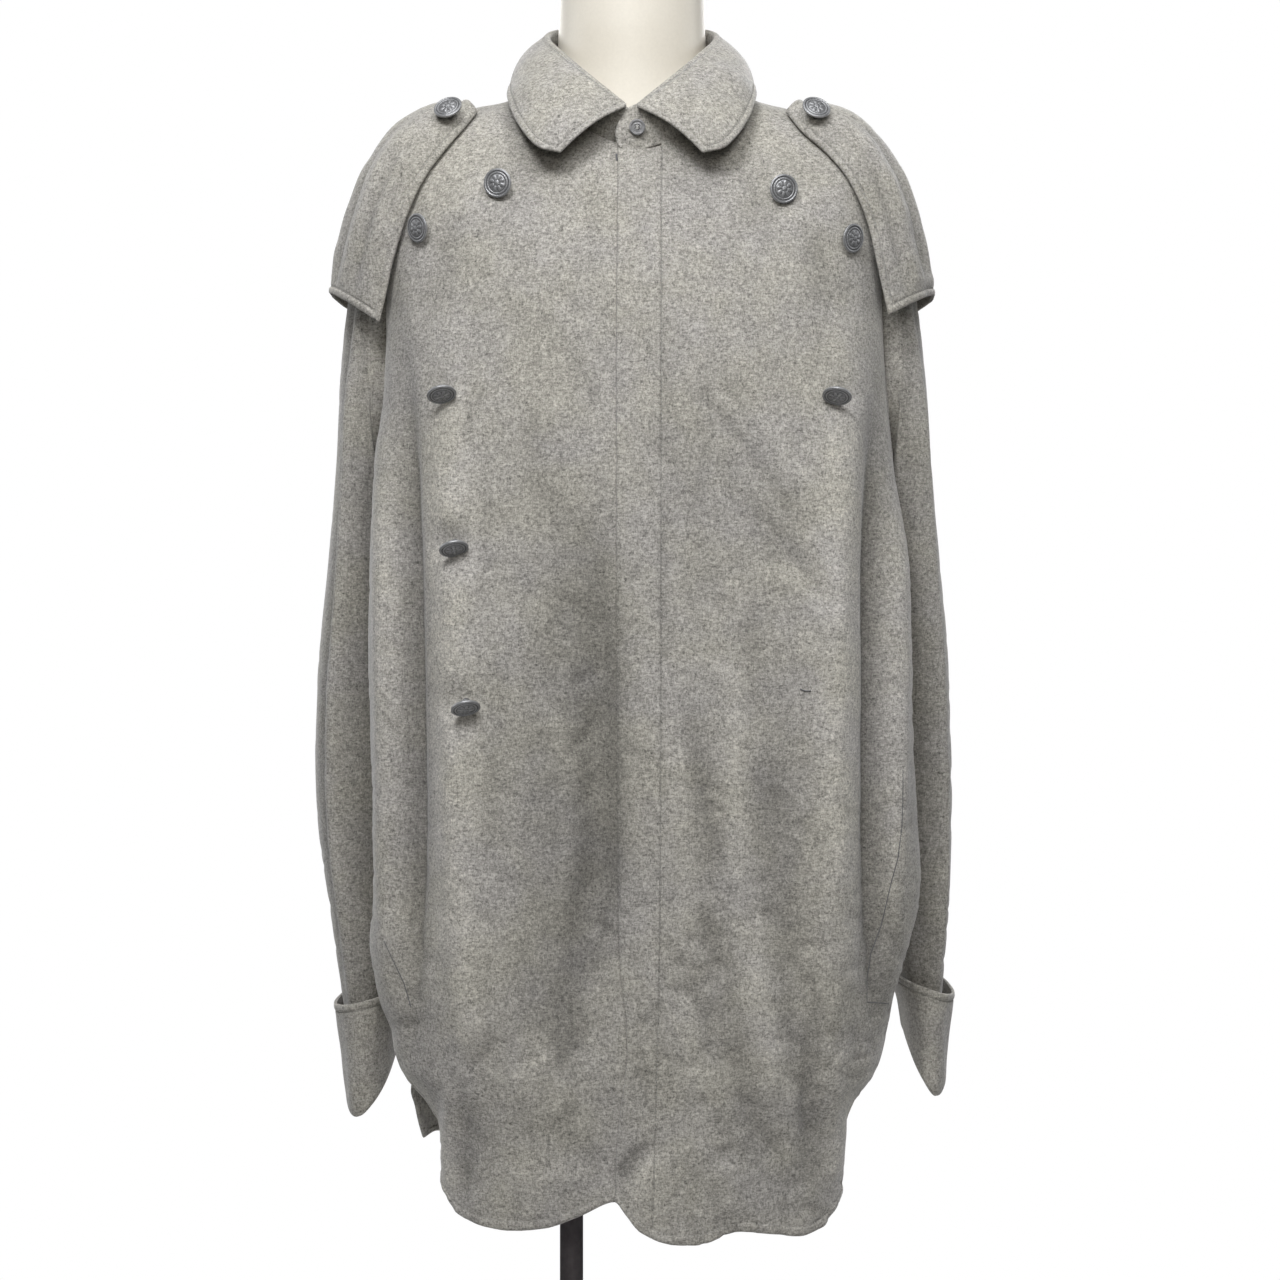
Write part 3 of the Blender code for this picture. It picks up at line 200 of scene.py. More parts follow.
# Turned-back cuffs: from the lip under the sleeve's end, round the fold, up to the rim.
CUFF_R = (
    (0.2325, 0.6243, 0.2100, 0.6583, 0.2210, 0.004, 0.6243, 0.112, 0.6463),
    (0.2335, 0.6195, 0.2090, 0.6535, 0.2210, 0.002, 0.6195, 0.114, 0.6415),
    (0.2365, 0.6175, 0.2065, 0.6515, 0.2210, -0.002, 0.6170, 0.118, 0.6395),
    (0.2405, 0.6230, 0.2035, 0.6575, 0.2220, -0.006, 0.6230, 0.122, 0.6450),
    (0.2455, 0.6600, 0.2012, 0.6800, 0.2240, -0.010, 0.6600, 0.127, 0.6750),
    (0.2510, 0.7000, 0.1985, 0.7120, 0.2255, -0.014, 0.7040, 0.132, 0.7080),
)
CUFF_L = (
    (0.2460, 0.6402, 0.2300, 0.6742, 0.2380, 0.004, 0.6402, 0.112, 0.6622),
    (0.2470, 0.6355, 0.2290, 0.6695, 0.2380, 0.002, 0.6355, 0.114, 0.6575),
    (0.2497, 0.6345, 0.2265, 0.6685, 0.2380, -0.002, 0.6340, 0.118, 0.6565),
    (0.2535, 0.6410, 0.2235, 0.6750, 0.2385, -0.006, 0.6410, 0.122, 0.6620),
    (0.2570, 0.6750, 0.2200, 0.6970, 0.2390, -0.009, 0.6780, 0.127, 0.6900),
    (0.2615, 0.7090, 0.2105, 0.7260, 0.2390, -0.012, 0.7140, 0.133, 0.7230),
)

# Shoulder capelets: crest point, front edge point, back edge, and how far the edge stands off.
CAPE_COLS = ("xt", "yt", "zt", "xf", "zf", "xb", "zb", "off")
CAPE_R = (
    (0.1385, 0.002, 1.4405, 0.1290, 1.4230, 0.1290, 1.4260, 0.0045),
    (0.1565, 0.004, 1.4410, 0.1390, 1.4080, 0.1390, 1.4140, 0.0045),
    (0.1790, 0.006, 1.4350, 0.1530, 1.3900, 0.1530, 1.3990, 0.0045),
    (0.2020, 0.009, 1.4190, 0.1660, 1.3710, 0.1660, 1.3820, 0.0047),
    (0.2230, 0.012, 1.3880, 0.1760, 1.3500, 0.1760, 1.3600, 0.0052),
    (0.2355, 0.015, 1.3570, 0.1845, 1.3253, 0.1840, 1.3340, 0.0062),
    (0.2440, 0.018, 1.3320, 0.1905, 1.2988, 0.1890, 1.3060, 0.0078),
    (0.2500, 0.020, 1.3090, 0.1935, 1.2760, 0.1920, 1.2820, 0.0098),
    (0.2530, 0.022, 1.2870, 0.1965, 1.2547, 0.1940, 1.2600, 0.0120),
)
CAPE_L = (
    (0.1300, 0.002, 1.4405, 0.1190, 1.4230, 0.1190, 1.4260, 0.0045),
    (0.1480, 0.004, 1.4405, 0.1310, 1.4050, 0.1310, 1.4130, 0.0045),
    (0.1700, 0.006, 1.4350, 0.1480, 1.3890, 0.1480, 1.3980, 0.0045),
    (0.1920, 0.009, 1.4190, 0.1620, 1.3720, 0.1620, 1.3820, 0.0047),
    (0.2135, 0.012, 1.3880, 0.1725, 1.3520, 0.1725, 1.3600, 0.0052),
    (0.2270, 0.015, 1.3570, 0.1800, 1.3300, 0.1800, 1.3340, 0.0062),
    (0.2350, 0.018, 1.3290, 0.1835, 1.3080, 0.1840, 1.3080, 0.0078),
    (0.2410, 0.020, 1.3050, 0.1870, 1.2830, 0.1870, 1.2850, 0.0098),
    (0.2440, 0.022, 1.2850, 0.1900, 1.2600, 0.1890, 1.2640, 0.0120),
)

# Collar, front point round to the centre back: roll line and outer edge of the leaf, one side.
COLLAR_COLS = ("xr", "yr", "zr", "xe", "ye", "ze")
COLLAR = (
    (0.0050, -0.0980, 1.4210, 0.0560, -0.1150, 1.3825),
    (0.0180, -0.0940, 1.4320, 0.0740, -0.1090, 1.3885),
    (0.0370, -0.0800, 1.4490, 0.0900, -0.0870, 1.4100),
    (0.0560, -0.0510, 1.4690, 0.0990, -0.0500, 1.4350),
    (0.0700, -0.0130, 1.4870, 0.1000, -0.0060, 1.4500),
    (0.0710, 0.0200, 1.4985, 0.0990, 0.0350, 1.4560),
    (0.0600, 0.0480, 1.5070, 0.0860, 0.0700, 1.4560),
    (0.0340, 0.0680, 1.5120, 0.0520, 0.0960, 1.4540),
    (0.0000, 0.0750, 1.5140, 0.0000, 0.1080, 1.4530),
)
NECK_SHIFT_X = -0.0050

# Dress form: rings from the bottom up, as the body's rings.
FORM_COLS = ("z", "w", "y_f", "y_b", "dz_f", "dz_b")
FORM = (
    (0.7800, 0.1560, -0.1000, 0.1020, 0.000, 0.000),
    (0.8300, 0.1640, -0.1060, 0.1080, 0.000, 0.000),
    (0.9000, 0.1640, -0.1050, 0.1090, 0.000, 0.000),
    (0.9800, 0.1520, -0.0970, 0.0980, 0.000, 0.000),
    (1.0600, 0.1440, -0.0940, 0.0880, 0.000, 0.000),
    (1.1400, 0.1520, -0.1030, 0.0920, -0.004, 0.000),
    (1.2200, 0.1640, -0.1090, 0.1000, -0.016, -0.004),
    (1.2900, 0.1740, -0.1060, 0.1050, -0.046, -0.010),
    (1.3450, 0.1800, -0.1010, 0.1050, -0.075, -0.022),
    (1.3820, 0.1740, -0.0960, 0.1020, -0.090, -0.030),
    (1.4050, 0.1570, -0.0910, 0.0970, -0.092, -0.032),
    (1.4210, 0.1290, -0.0850, 0.0900, -0.084, -0.026),
    (1.4310, 0.0980, -0.0770, 0.0790, -0.066, -0.016),
    (1.4430, 0.0740, -0.0670, 0.0680, -0.040, -0.006),
    (1.4660, 0.0630, -0.0620, 0.0630, -0.018, 0.000),
    (1.5000, 0.0600, -0.0610, 0.0620, -0.004, 0.000),
    (1.5460, 0.0590, -0.0600, 0.0610, 0.000, 0.000),
)
FORM_CAP_Z = 1.5500
FORM_CAP_INSET = 0.006

# Metal buttons on the fronts: x, z, and where the disc's axis points (turned out, tipped down).
BUTTON_COLS = ("name", "x", "z", "turn", "tip", "seat")
BUTTONS = (
    ("button_right_chest", -0.1085, 1.3600, -18.0, 4.0, "body"),
    ("button_right_side", -0.1690, 1.3270, -46.0, 8.0, "body"),
    ("button_right_3", -0.1500, 1.1960, 16.0, 58.0, "body"),
    ("button_right_4", -0.1400, 1.0757, 20.0, 60.0, "body"),
    ("button_right_5", -0.1300, 0.9524, 20.0, 60.0, "body"),
    ("button_left_chest", 0.1130, 1.3555, 16.0, 4.0, "body"),
    ("button_left_side", 0.1650, 1.3190, 44.0, 8.0, "body"),
    ("button_left_3", 0.1510, 1.1944, -14.0, 58.0, "body"),
)


# ----------------------------------------------------------------------------- curves
def curve(xs, ys, x):
    """Shape-keeping cubic through (xs, ys), read at x."""
    xs = np.asarray(xs, float)
    ys = np.asarray(ys, float)
    x = np.clip(np.asarray(x, float), xs[0], xs[-1])
    h = np.diff(xs)
    d = np.diff(ys) / h
    m = np.empty_like(ys)
    m[0], m[-1] = d[0], d[-1]
    prod = d[:-1] * d[1:]
    m[1:-1] = np.where(prod > 0.0, 2.0 * prod / np.where(prod > 0.0, d[:-1] + d[1:], 1.0), 0.0)
    k = np.clip(np.searchsorted(xs, x, side="right") - 1, 0, len(xs) - 2)
    u = (x - xs[k]) / h[k]
    return ((1 + 2 * u) * (1 - u) ** 2 * ys[k] + u * (1 - u) ** 2 * h[k] * m[k]
            + u * u * (3 - 2 * u) * ys[k + 1] + u * u * (u - 1) * h[k] * m[k + 1])


def smooth_curve(ys, t):
    """Catmull-Rom curve through evenly spaced values, read at row number t."""
    ys = np.asarray(ys, float)
    n = len(ys)
    t = np.clip(np.asarray(t, float), 0.0, n - 1.0)
    k = np.clip(np.floor(t).astype(int), 0, n - 2)
    u = t - k
    pad = np.concatenate(([2 * ys[0] - ys[1]], ys, [2 * ys[-1] - ys[-2]]))
    a, b, c, d = pad[k], pad[k + 1], pad[k + 2], pad[k + 3]
    return 0.5 * (2 * b + (c - a) * u + (2 * a - 5 * b + 4 * c - d) * u ** 2
                  + (3 * b - a - 3 * c + d) * u ** 3)


def column(table, cols, name, t):
    return smooth_curve([row[cols.index(name)] for row in table], t)


def panel_edge(name, t):
    """Where a panel ends round the body; kept from overshooting at the seam corners."""
    return curve(range(len(BODY)), [row[BODY_COLS.index(name)] for row in BODY], t)


def smoothstep(a, b, x):
    u = np.clip((np.asarray(x, float) - a) / (b - a), 0.0, 1.0)
    return u * u * (3 - 2 * u)


# ----------------------------------------------------------------------------- body surface
def even_angle(q, n):
    """Angle (0..90 degrees, as 0..1) that spaces points evenly along a squarish quarter."""
    q = np.clip(q, 0.0, 1.0)
    w = q * q * (3 - 2 * q)
    return (1 - w) * q ** (n / 2) + w * (1 - (1 - q) ** (n / 2))


def body_base(q, t):
    """Point of the body sheet: q -2..2 round from the centre front (+ = wearer's left), t down."""
    q, t = np.broadcast_arrays(np.asarray(q, float), np.asarray(t, float))
    c = {k: column(BODY, BODY_COLS, k, t) for k in BODY_COLS}
    aq = np.abs(q)
    back = aq > 1.0
    ang = np.where(back, 2.0 - even_angle(2.0 - aq, c["n"]), even_angle(aq, c["n"])) * math.pi / 2
    s = np.abs(np.sin(ang)) ** (2 / c["n"])
    k = np.abs(np.cos(ang)) ** (2 / c["n"])
    w = np.where(q < 0, c["w_r"], c["w_l"])
    tail = np.where(q < 0, curve([r[0] for r in BACK_TAIL], [r[1] for r in BACK_TAIL], t),
                    curve([r[0] for r in BACK_TAIL], [r[2] for r in BACK_TAIL], t))
    w = w + (tail - w) * smoothstep(T_VENT, T_VENT + 1.0, t) * smoothstep(1.06, 1.19, aq)
    hump = smoothstep(0.98, 1.24, aq) * (1 - smoothstep(1.30, 1.75, aq))
    x = np.sign(q) * w * s * (1 - c["pinch"] * hump)
    y = np.where(back, c["y_w"] + (c["y_b"] - c["y_w"]) * k, c["y_w"] + (c["y_f"] - c["y_w"]) * k)
    z = c["z"] + np.where(back, c["dz_b"], c["dz_f"]) * np.cos(ang) ** 2
    # the hem's own line comes in over the tail
    hem_f = curve([r[0] for r in HEM_FRONT], [r[1] for r in HEM_FRONT], x)
    hem_b = curve([r[0] for r in HEM_BACK], [r[1] for r in HEM_BACK], x)
    share = np.clip((t - (T_VENT + 1.0)) / (T_HEM - T_VENT - 1.0), 0.0, 1.0) ** 1.3
    hem = np.where(back, hem_b, hem_f)
    z = z + (hem - BODY[-1][0]) * share
    return np.stack((x, y, z), -1)


def unit(v):
    return v / np.maximum(np.linalg.norm(v, axis=-1, keepdims=True), 1e-12)


def body_normal(q, t, e=0.004):
    """Outward normal of the body sheet."""
    tt = np.clip(t, e * 4, T_HEM - e * 4)
    du = body_base(q + e, tt) - body_base(q - e, tt)
    dv = body_base(q, tt + e * 4) - body_base(q, tt - e * 4)
    return unit(np.cross(dv, du))


def fold_depth(p, q):
    """How far the standing folds carry the sheet out (+) or in (-)."""
    total = np.zeros(p.shape[:-1])
    for table, here in ((FOLDS_FRONT, np.abs(q) < 1.0), (FOLDS_BACK, np.abs(q) > 1.0)):
        for x, z, half_l, half_w, depth in table:
            along = np.clip(1 - ((p[..., 2] - z) / half_l) ** 2, 0.0, 1.0) ** 1.5
            across = np.exp(-((p[..., 0] - x) / half_w) ** 2)
            total = total + np.where(here, depth * along * across, 0.0)
    side = 1 - smoothstep(0.86, 0.98, np.abs(q)) + smoothstep(1.30, 1.45, np.abs(q))
    return total * side


def body_point(q, t, out=0.0):
    q, t = np.broadcast_arrays(np.asarray(q, float), np.asarray(t, float))
    p = body_base(q, t)
    n = body_normal(q, t)
    return p + n * (fold_depth(p, q) + out)[..., None]


def q_of_x(x, t):
    """Place across the front where the sheet has this x, row by row."""
    t = np.atleast_1d(np.asarray(t, float))
    x = np.broadcast_to(np.asarray(x, float), t.shape)
    lo, hi = np.full(t.shape, -0.6), np.full(t.shape, 0.6)
    for _ in range(30):
        mid = (lo + hi) / 2
        high = body_base(mid, t)[..., 0] > x
        hi = np.where(high, mid, hi)
        lo = np.where(high, lo, mid)
    return (lo + hi) / 2


def find_on_body(x, z, q0, t0):
    """Where on the sheet a point seen from the front at x, z lies (q0, t0 is a first guess)."""
    q = np.full(np.shape(x), float(q0))
    t = np.full(np.shape(x), float(t0))
    e = 0.002
    for _ in range(40):
        p = body_base(q, t)
        pq = (body_base(q + e, t) - p) / e
        pt = (body_base(q, t + e) - p) / e
        rx, rz = x - p[..., 0], z - p[..., 2]
        det = pq[..., 0] * pt[..., 2] - pt[..., 0] * pq[..., 2]
        det = np.where(np.abs(det) < 1e-5, 1e-5, det)
        dq = (rx * pt[..., 2] - rz * pt[..., 0]) / det
        dt = (pq[..., 0] * rz - pq[..., 2] * rx) / det
        q = np.clip(q + np.clip(dq, -0.08, 0.08), min(q0 * 0.2, q0 * 1.9), max(q0 * 0.2, q0 * 1.9))
        t = np.clip(t + np.clip(dt, -0.5, 0.5), 0.05, T_HEM - 0.05)
    return q, t


# ----------------------------------------------------------------------------- other sheets
def rings_point(table, phi, r):
    """Ring r of a sleeve or cuff table, phi 0..360 from the outer point to the front."""
    n = 2.0 + 0.35 * smoothstep(2.0, 6.0, r) if len(table) > 8 else 2.35
    c = {k: column(table, SLEEVE_COLS, k, r) for k in SLEEVE_COLS}
    a = np.radians(phi)
    ca, sa = np.cos(a), np.sin(a)
    ce = np.abs(ca) ** (2 / n)
    se = np.abs(sa) ** (2 / n)
    outer = np.stack((c["xo"], (c["yf"] + c["yb"]) / 2, c["zo"]), -1)
    inner = np.stack((c["xi"], (c["yf"] + c["yb"]) / 2, c["zi"]), -1)
    front = np.stack((c["xm"], c["yf"], c["zf"]), -1)
    back = np.stack((c["xm"], c["yb"], c["zb"]), -1)
    mid = (outer + inner) / 2
    mid[..., 0] = c["xm"]
    lengthways = np.where((ca > 0)[..., None], outer - mid, inner - mid) * ce[..., None]
    crossways = np.where((sa > 0)[..., None], front - mid, back - mid) * se[..., None]
    return mid + lengthways + crossways


def ring_angles(count):
    """Angles round a flattened ring, closer together at its front and back ends."""
    a = np.arange(count) * 2 * math.pi / count
    return np.degrees(a)


def armhole(side, count):
    """The body's armhole, from the shoulder tip down the front and up the back."""
    half = count // 2
    fall = (1 - np.cos(np.linspace(0.0, math.pi, half + 1))) / 2
    dense = np.linspace(T_TIP, T_UNDERARM, 161)
    runs = []
    for edge in ("e_f", "e_b"):
        z = body_point(side * panel_edge(edge, dense), dense)[:, 2]
        z = np.minimum.accumulate(z)
        t = np.interp(z[0] + (z[-1] - z[0]) * fall, z[::-1], dense[::-1])
        t[0], t[-1] = T_TIP, T_UNDERARM
        runs.append(body_point(side * panel_edge(edge, t), t))
    return np.concatenate((runs[0], runs[1][-2:0:-1]))


def sleeve_grid(side, table, count, rows):
    """Sleeve sheet: first ring on the armhole, then blended into the table's rings."""
    phi = ring_angles(count)
    first = armhole(side, count)
    first[:, 0] += side * 0.0030
    grid = [first]
    for r in np.linspace(0.0, len(table) - 1.0, rows):
        ring = rings_point(table, phi, np.full(count, r))
        ring[:, 0] *= side
        share = smoothstep(-1.0, 3.5, r)
        start = first.copy()
        start[:, 0] += side * 0.0085 * (r + 1.0)
        start[:, 2] -= 0.0130 * (r + 1.0)
        grid.append(start * (1 - share) + ring * share)
    return np.array(grid)


def cuff_grid(side, table, count, rows):
    phi = ring_angles(count)
    grid = []
    for r in rows:
        ring = rings_point(table, phi, np.full(count, float(r)))
        ring[:, 0] *= side
        grid.append(ring)
    return np.array(grid)


def cape_point(side, table, a, r, out=0.0):
    """Capelet: a -1 front edge, 0 crest, 1 back edge; r row from the neck end to the hem."""
    c = {k: column(table, CAPE_COLS, k, r) for k in CAPE_COLS}
    qf, tf = find_on_body(side * c["xf"], c["zf"], side * 0.80, 4.5)
    qb, tb = find_on_body(side * c["xb"], c["zb"], side * 1.20, 4.5)
    front = body_point(qf, tf, c["off"])
    back = body_point(qb, tb, c["off"])
    hang = smoothstep(2.0, 8.0, r)
    back = back + np.stack((side * 0.010 * hang, 0.038 * hang, 0 * hang), -1)
    top = np.stack((side * c["xt"], c["yt"], c["zt"] - 0.0012 + 0 * c["xt"]), -1)
    mid = (front + back) / 2
    n = 2.6
    ca = np.abs(np.cos(a * math.pi / 2)) ** (2 / n)
    sa = np.abs(np.sin(a * math.pi / 2)) ** (2 / n)
    edge = np.where((a < 0)[..., None], front - mid, back - mid)
    p = mid + (top - mid) * ca[..., None] + edge * sa[..., None]
    return p


def collar_point(u, v, out=0.0):
    """Collar leaf: u -8..8 round from the wearer's right point by the back, v roll to edge."""
    au = 8.0 - np.abs(u)
    c = {k: column(COLLAR, COLLAR_COLS, k, au) for k in COLLAR_COLS}
    s = np.sign(u)
    roll = np.stack((s * c["xr"] + NECK_SHIFT_X, c["yr"], c["zr"]), -1)
    edge = np.stack((s * c["xe"] + NECK_SHIFT_X, c["ye"], c["ze"]), -1)
    away = unit(np.stack((s * (c["xr"] + 0.01), c["yr"] * 1.0, 0.055 + 0 * c["zr"]), -1))
    belly = np.sin(np.pi * np.clip(v, 0, 1)) * 0.0065
    return roll + (edge - roll) * v[..., None] + away * (belly + out)[..., None]


# ----------------------------------------------------------------------------- view and noise
VIEW_UNIT = 0.00082          # one view unit at the middle of the coat, in metres
VIEW_MID_U, VIEW_MID_V = 638.0, 640.0
EYE_Y, EYE_Z = -2.6, 1.0


def view_uv(p):
    """Where the camera sees a point, in view units."""
    k = VIEW_UNIT * (p[..., 1] - EYE_Y) / -EYE_Y
    return VIEW_MID_U + p[..., 0] / k, VIEW_MID_V - (p[..., 2] - EYE_Z) / k


def lattice(ix, iy, seed):
    h = (ix * 374761393 + iy * 668265263 + seed * 974634777) & 0x7FFFFFFF
    h = ((h ^ (h >> 13)) * 1274126177) & 0x7FFFFFFF
    a = (h & 0xFFFF) / 65536.0 * 2 * math.pi
    return np.cos(a), np.sin(a)


def noise(x, y, seed=1):
    """Smooth gradient noise, about -1..1, the same on each run."""
    x, y = np.broadcast_arrays(np.asarray(x, float), np.asarray(y, float))
    ix, iy = np.floor(x).astype(np.int64), np.floor(y).astype(np.int64)
    fx, fy = x - ix, y - iy
    sx, sy = fx ** 3 * (fx * (fx * 6 - 15) + 10), fy ** 3 * (fy * (fy * 6 - 15) + 10)
    val = []
    for dx, dy in ((0, 0), (1, 0), (0, 1), (1, 1)):
        gx, gy = lattice(ix + dx, iy + dy, seed)
        val.append(gx * (fx - dx) + gy * (fy - dy))
    top = val[0] + (val[1] - val[0]) * sx
    low = val[2] + (val[3] - val[2]) * sx
    return (top + (low - top) * sy) * 1.5


def crumple(x, y, size, seed, turn=0.0, stretch=1.6):
    """Soft-edged creases of uneven direction and spacing, 0 in the flats and up to 1 on a crease."""
    c, s = math.cos(math.radians(turn)), math.sin(math.radians(turn))
    a, b = (x * c + y * s) / (size * stretch), (-x * s + y * c) / size
    bend = noise(a * 0.7, b * 0.5, seed + 5) * 0.7
    n = noise(a + bend, b + bend * 0.6, seed)
    patch = 0.5 + 0.5 * noise(a * 0.45, b * 0.35, seed + 9)
    return np.exp(-(n / 0.17) ** 2) * np.clip(patch * 1.6 - 0.25, 0, 1)


# Creases: ends, sideways bow, half width, height (mm, out +) and how one-sided the section is.
CREASE_COLS = ("a0", "b0", "a1", "b1", "bow", "half_w", "height", "skew")


def creases(a, b, table):
    """Sum of the creases of a table at places (a, b), in metres."""
    total = np.zeros(np.broadcast(a, b).shape)
    for a0, b0, a1, b1, bow, half_w, height, skew in table:
        da, db = a1 - a0, b1 - b0
        run = math.hypot(da, db)
        along = ((a - a0) * da + (b - b0) * db) / run ** 2
        near = np.clip(along, 0.0, 1.0)
        off = (-(a - a0) * db + (b - b0) * da) / run - bow * 4 * near * (1 - near)
        ends = smoothstep(-0.04, 0.34, along) * (1 - smoothstep(0.66, 1.04, along))
        w = half_w * (0.72 + 0.28 * np.sin(math.pi * near))
        total = total + height * ends * np.exp(-(off / w) ** 2) * (1 + skew * off / w)
    return total * 0.001


# ----------------------------------------------------------------------------- creases
# Front, in view units: the broad standing folds first, then the drag lines and the small creases.
FRONT_CREASES = (
    (452, 290, 468, 1120, 8, 22, 9.5, 0.2),
    (402, 300, 412, 1090, -4, 14, -16.0, 0.0),
    (379, 380, 383, 1000, -5, 10, 8.0, 0.0),
    (838, 250, 836, 1140, -4, 20, 9.0, -0.2),
    (880, 330, 878, 1080, 4, 15, -16.0, 0.0),
    (902, 420, 900, 940, 4, 10, 8.0, 0.0),
    (560, 230, 548, 640, 10, 44, -1.8, 0.0),
    (594, 480, 602, 1030, -8, 26, -13.0, 0.5),
    (606, 820, 562, 1110, 8, 20, -9.0, 0.4),
    (556, 470, 540, 1080, 0, 30, -6.0, 0.0),
    (700, 330, 708, 640, 0, 30, -2.8, 0.0),
    (716, 640, 724, 1130, 4, 24, -2.6, 0.2),
    (792, 640, 796, 1120, -4, 18, -2.4, 0.0),
    # drag lines from the shoulder across the wearer's left front
    (684, 372, 816, 552, -10, 6.0, -2.2, 0.7),
    (712, 372, 786, 470, -5, 5.0, -1.8, 0.5),
    (728, 396, 824, 520, -8, 7.0, 1.8, -0.4),
    (752, 500, 834, 616, -6, 7.0, -2.1, 0.6),
    (700, 440, 796, 604, -9, 8.0, -1.4, 0.3),
    (770, 560, 838, 640, -4, 8.0, 1.8, 0.0),
    (640, 420, 700, 505, -5, 7.0, -1.0, 0.3),
    # beside the seam of the strip and down the wearer's left front
    (667, 300, 669, 470, 0, 5.0, -1.2, 0.0),
    (668, 480, 668, 720, 1, 6.0, -1.5, 0.3),
    (757, 590, 760, 735, 3, 10, -1.7, 0.3),
    (741, 640, 744, 930, 6, 10, 3.0, 0.2),
    (745, 900, 806, 1150, 8, 11, 3.0, 0.3),
    (776, 740, 792, 960, 8, 15, -2.0, 0.0),
    (762, 902, 800, 934, 3, 4.5, -2.2, 0.5),
    (752, 770, 790, 838, -5, 6.0, -1.7, 0.6),
    (700, 655, 748, 705, -4, 6.0, 1.7, 0.4),
    (690, 690, 722, 860, 8, 9.0, -2.2, 0.0),
    (712, 826, 730, 872, 2, 5.0, -2.0, 0.4),
    (676, 700, 690, 980, -5, 8.0, 1.7, 0.2),
    (700, 905, 722, 985, -5, 7.0, -2.2, 0.5),
    (684, 980, 716, 1120, 6, 9.0, 2.1, 0.2),
    (722, 1010, 760, 1150, -6, 10, -1.8, 0.3),
    (740, 1080, 792, 1168, 5, 7.0, -1.8, 0.5),
    (820, 1000, 812, 1190, 5, 9.0, -3.0, 0.3),
    (836, 1040, 836, 1205, 3, 8.0, 2.2, 0.0),
    (640, 1040, 652, 1126, 2, 6.0, -1.2, 0.3),
    (672, 1130, 760, 1176, 8, 12, 1.8, 0.0),
    (690, 1150, 770, 1176, -6, 9.0, -1.2, 0.4),
    (798, 1170, 840, 1150, 3, 6.0, -1.4, 0.4),
    # fly strip
    (624, 560, 650, 584, 2, 5.0, -0.9, 0.4),
    (622, 742, 656, 760, 2, 5.0, -1.0, 0.4),
    (628, 908, 658, 890, 2, 5.0, -1.2, 0.4),
    (630, 1030, 658, 1002, 3, 5.0, -1.5, 0.5),
    (626, 1082, 656, 1066, 2, 4.0, -1.0, 0.3),
    (657, 1140, 618, 1194, 4, 7.0, -3.6, 0.9),
    (668, 1150, 634, 1212, 4, 11, 2.4, 0.0),
    # wearer's right front
    (480, 380, 469, 462, 2, 4.0, -1.5, 0.4),
    (492, 470, 486, 610, 2, 5.0, -1.4, 0.3),
    (499, 640, 494, 880, 3, 7.0, -1.5, 0.3),
    (486, 778, 520, 798, 2, 3.5, -0.9, 0.3),
    (484, 808, 522, 822, 2, 3.5, -0.9, 0.3),
    (488, 836, 526, 850, 3, 3.5, -0.8, 0.3),
    (486, 866, 540, 884, 3, 4.0, -0.8, 0.3),
    (534, 310, 560, 356, -3, 6.0, -0.9, 0.3),
    (566, 350, 604, 420, -5, 7.0, -1.2, 0.3),
    (532, 400, 544, 480, 4, 6.0, -1.5, 0.3),
    (520, 466, 580, 560, -8, 8.0, -1.0, 0.3),
    (556, 588, 600, 640, -4, 6.0, -1.4, 0.5),
    (560, 690, 612, 648, 5, 6.0, -2.0, 0.6),
    (556, 760, 610, 694, 6, 7.0, -2.2, 0.6),
    (560, 820, 606, 764, 5, 6.0, -1.5, 0.4),
    (540, 700, 570, 790, -5, 7.0, 1.4, 0.0),
    (574, 900, 612, 860, 4, 6.0, -1.5, 0.4),
    (588, 920, 620, 933, 2, 4.0, -2.2, 0.5),
    (556, 1000, 600, 942, 5, 7.0, -1.8, 0.5),
    (548, 1068, 596, 1010, 5, 7.0, -1.7, 0.4),
    (462, 1074, 496, 1030, 2, 4.5, -2.5, 0.8),
    (452, 1050, 486, 1012, 2, 7.0, 1.8, 0.0),
    (500, 1090, 560, 1046, 4, 8.0, 1.4, 0.0),
    (508, 1140, 590, 1100, 6, 8.0, -1.4, 0.3),
    (451, 1066, 450, 1212, 0, 6.0, 3.0, 0.3),
    (470, 1090, 466, 1222, 2, 8.0, -2.0, 0.0),
    (560, 1120, 604, 1190, -4, 9.0, -1.5, 0.3),
    (486, 1170, 600, 1176, 5, 9.0, 1.4, 0.0),
    (520, 930, 532, 1040, 4, 9.0, -1.4, 0.0),
    # towards the armholes and the collar
    (520, 150, 500, 250, 4, 12, -1.2, 0.0),
    (470, 200, 440, 330, 6, 14, -1.5, 0.2),
    (744, 150, 770, 260, -5, 12, -1.4, 0.0),
    (806, 220, 836, 330, -6, 14, -1.5, 0.2),
    (590, 176, 596, 260, 3, 8.0, -0.9, 0.0),
)
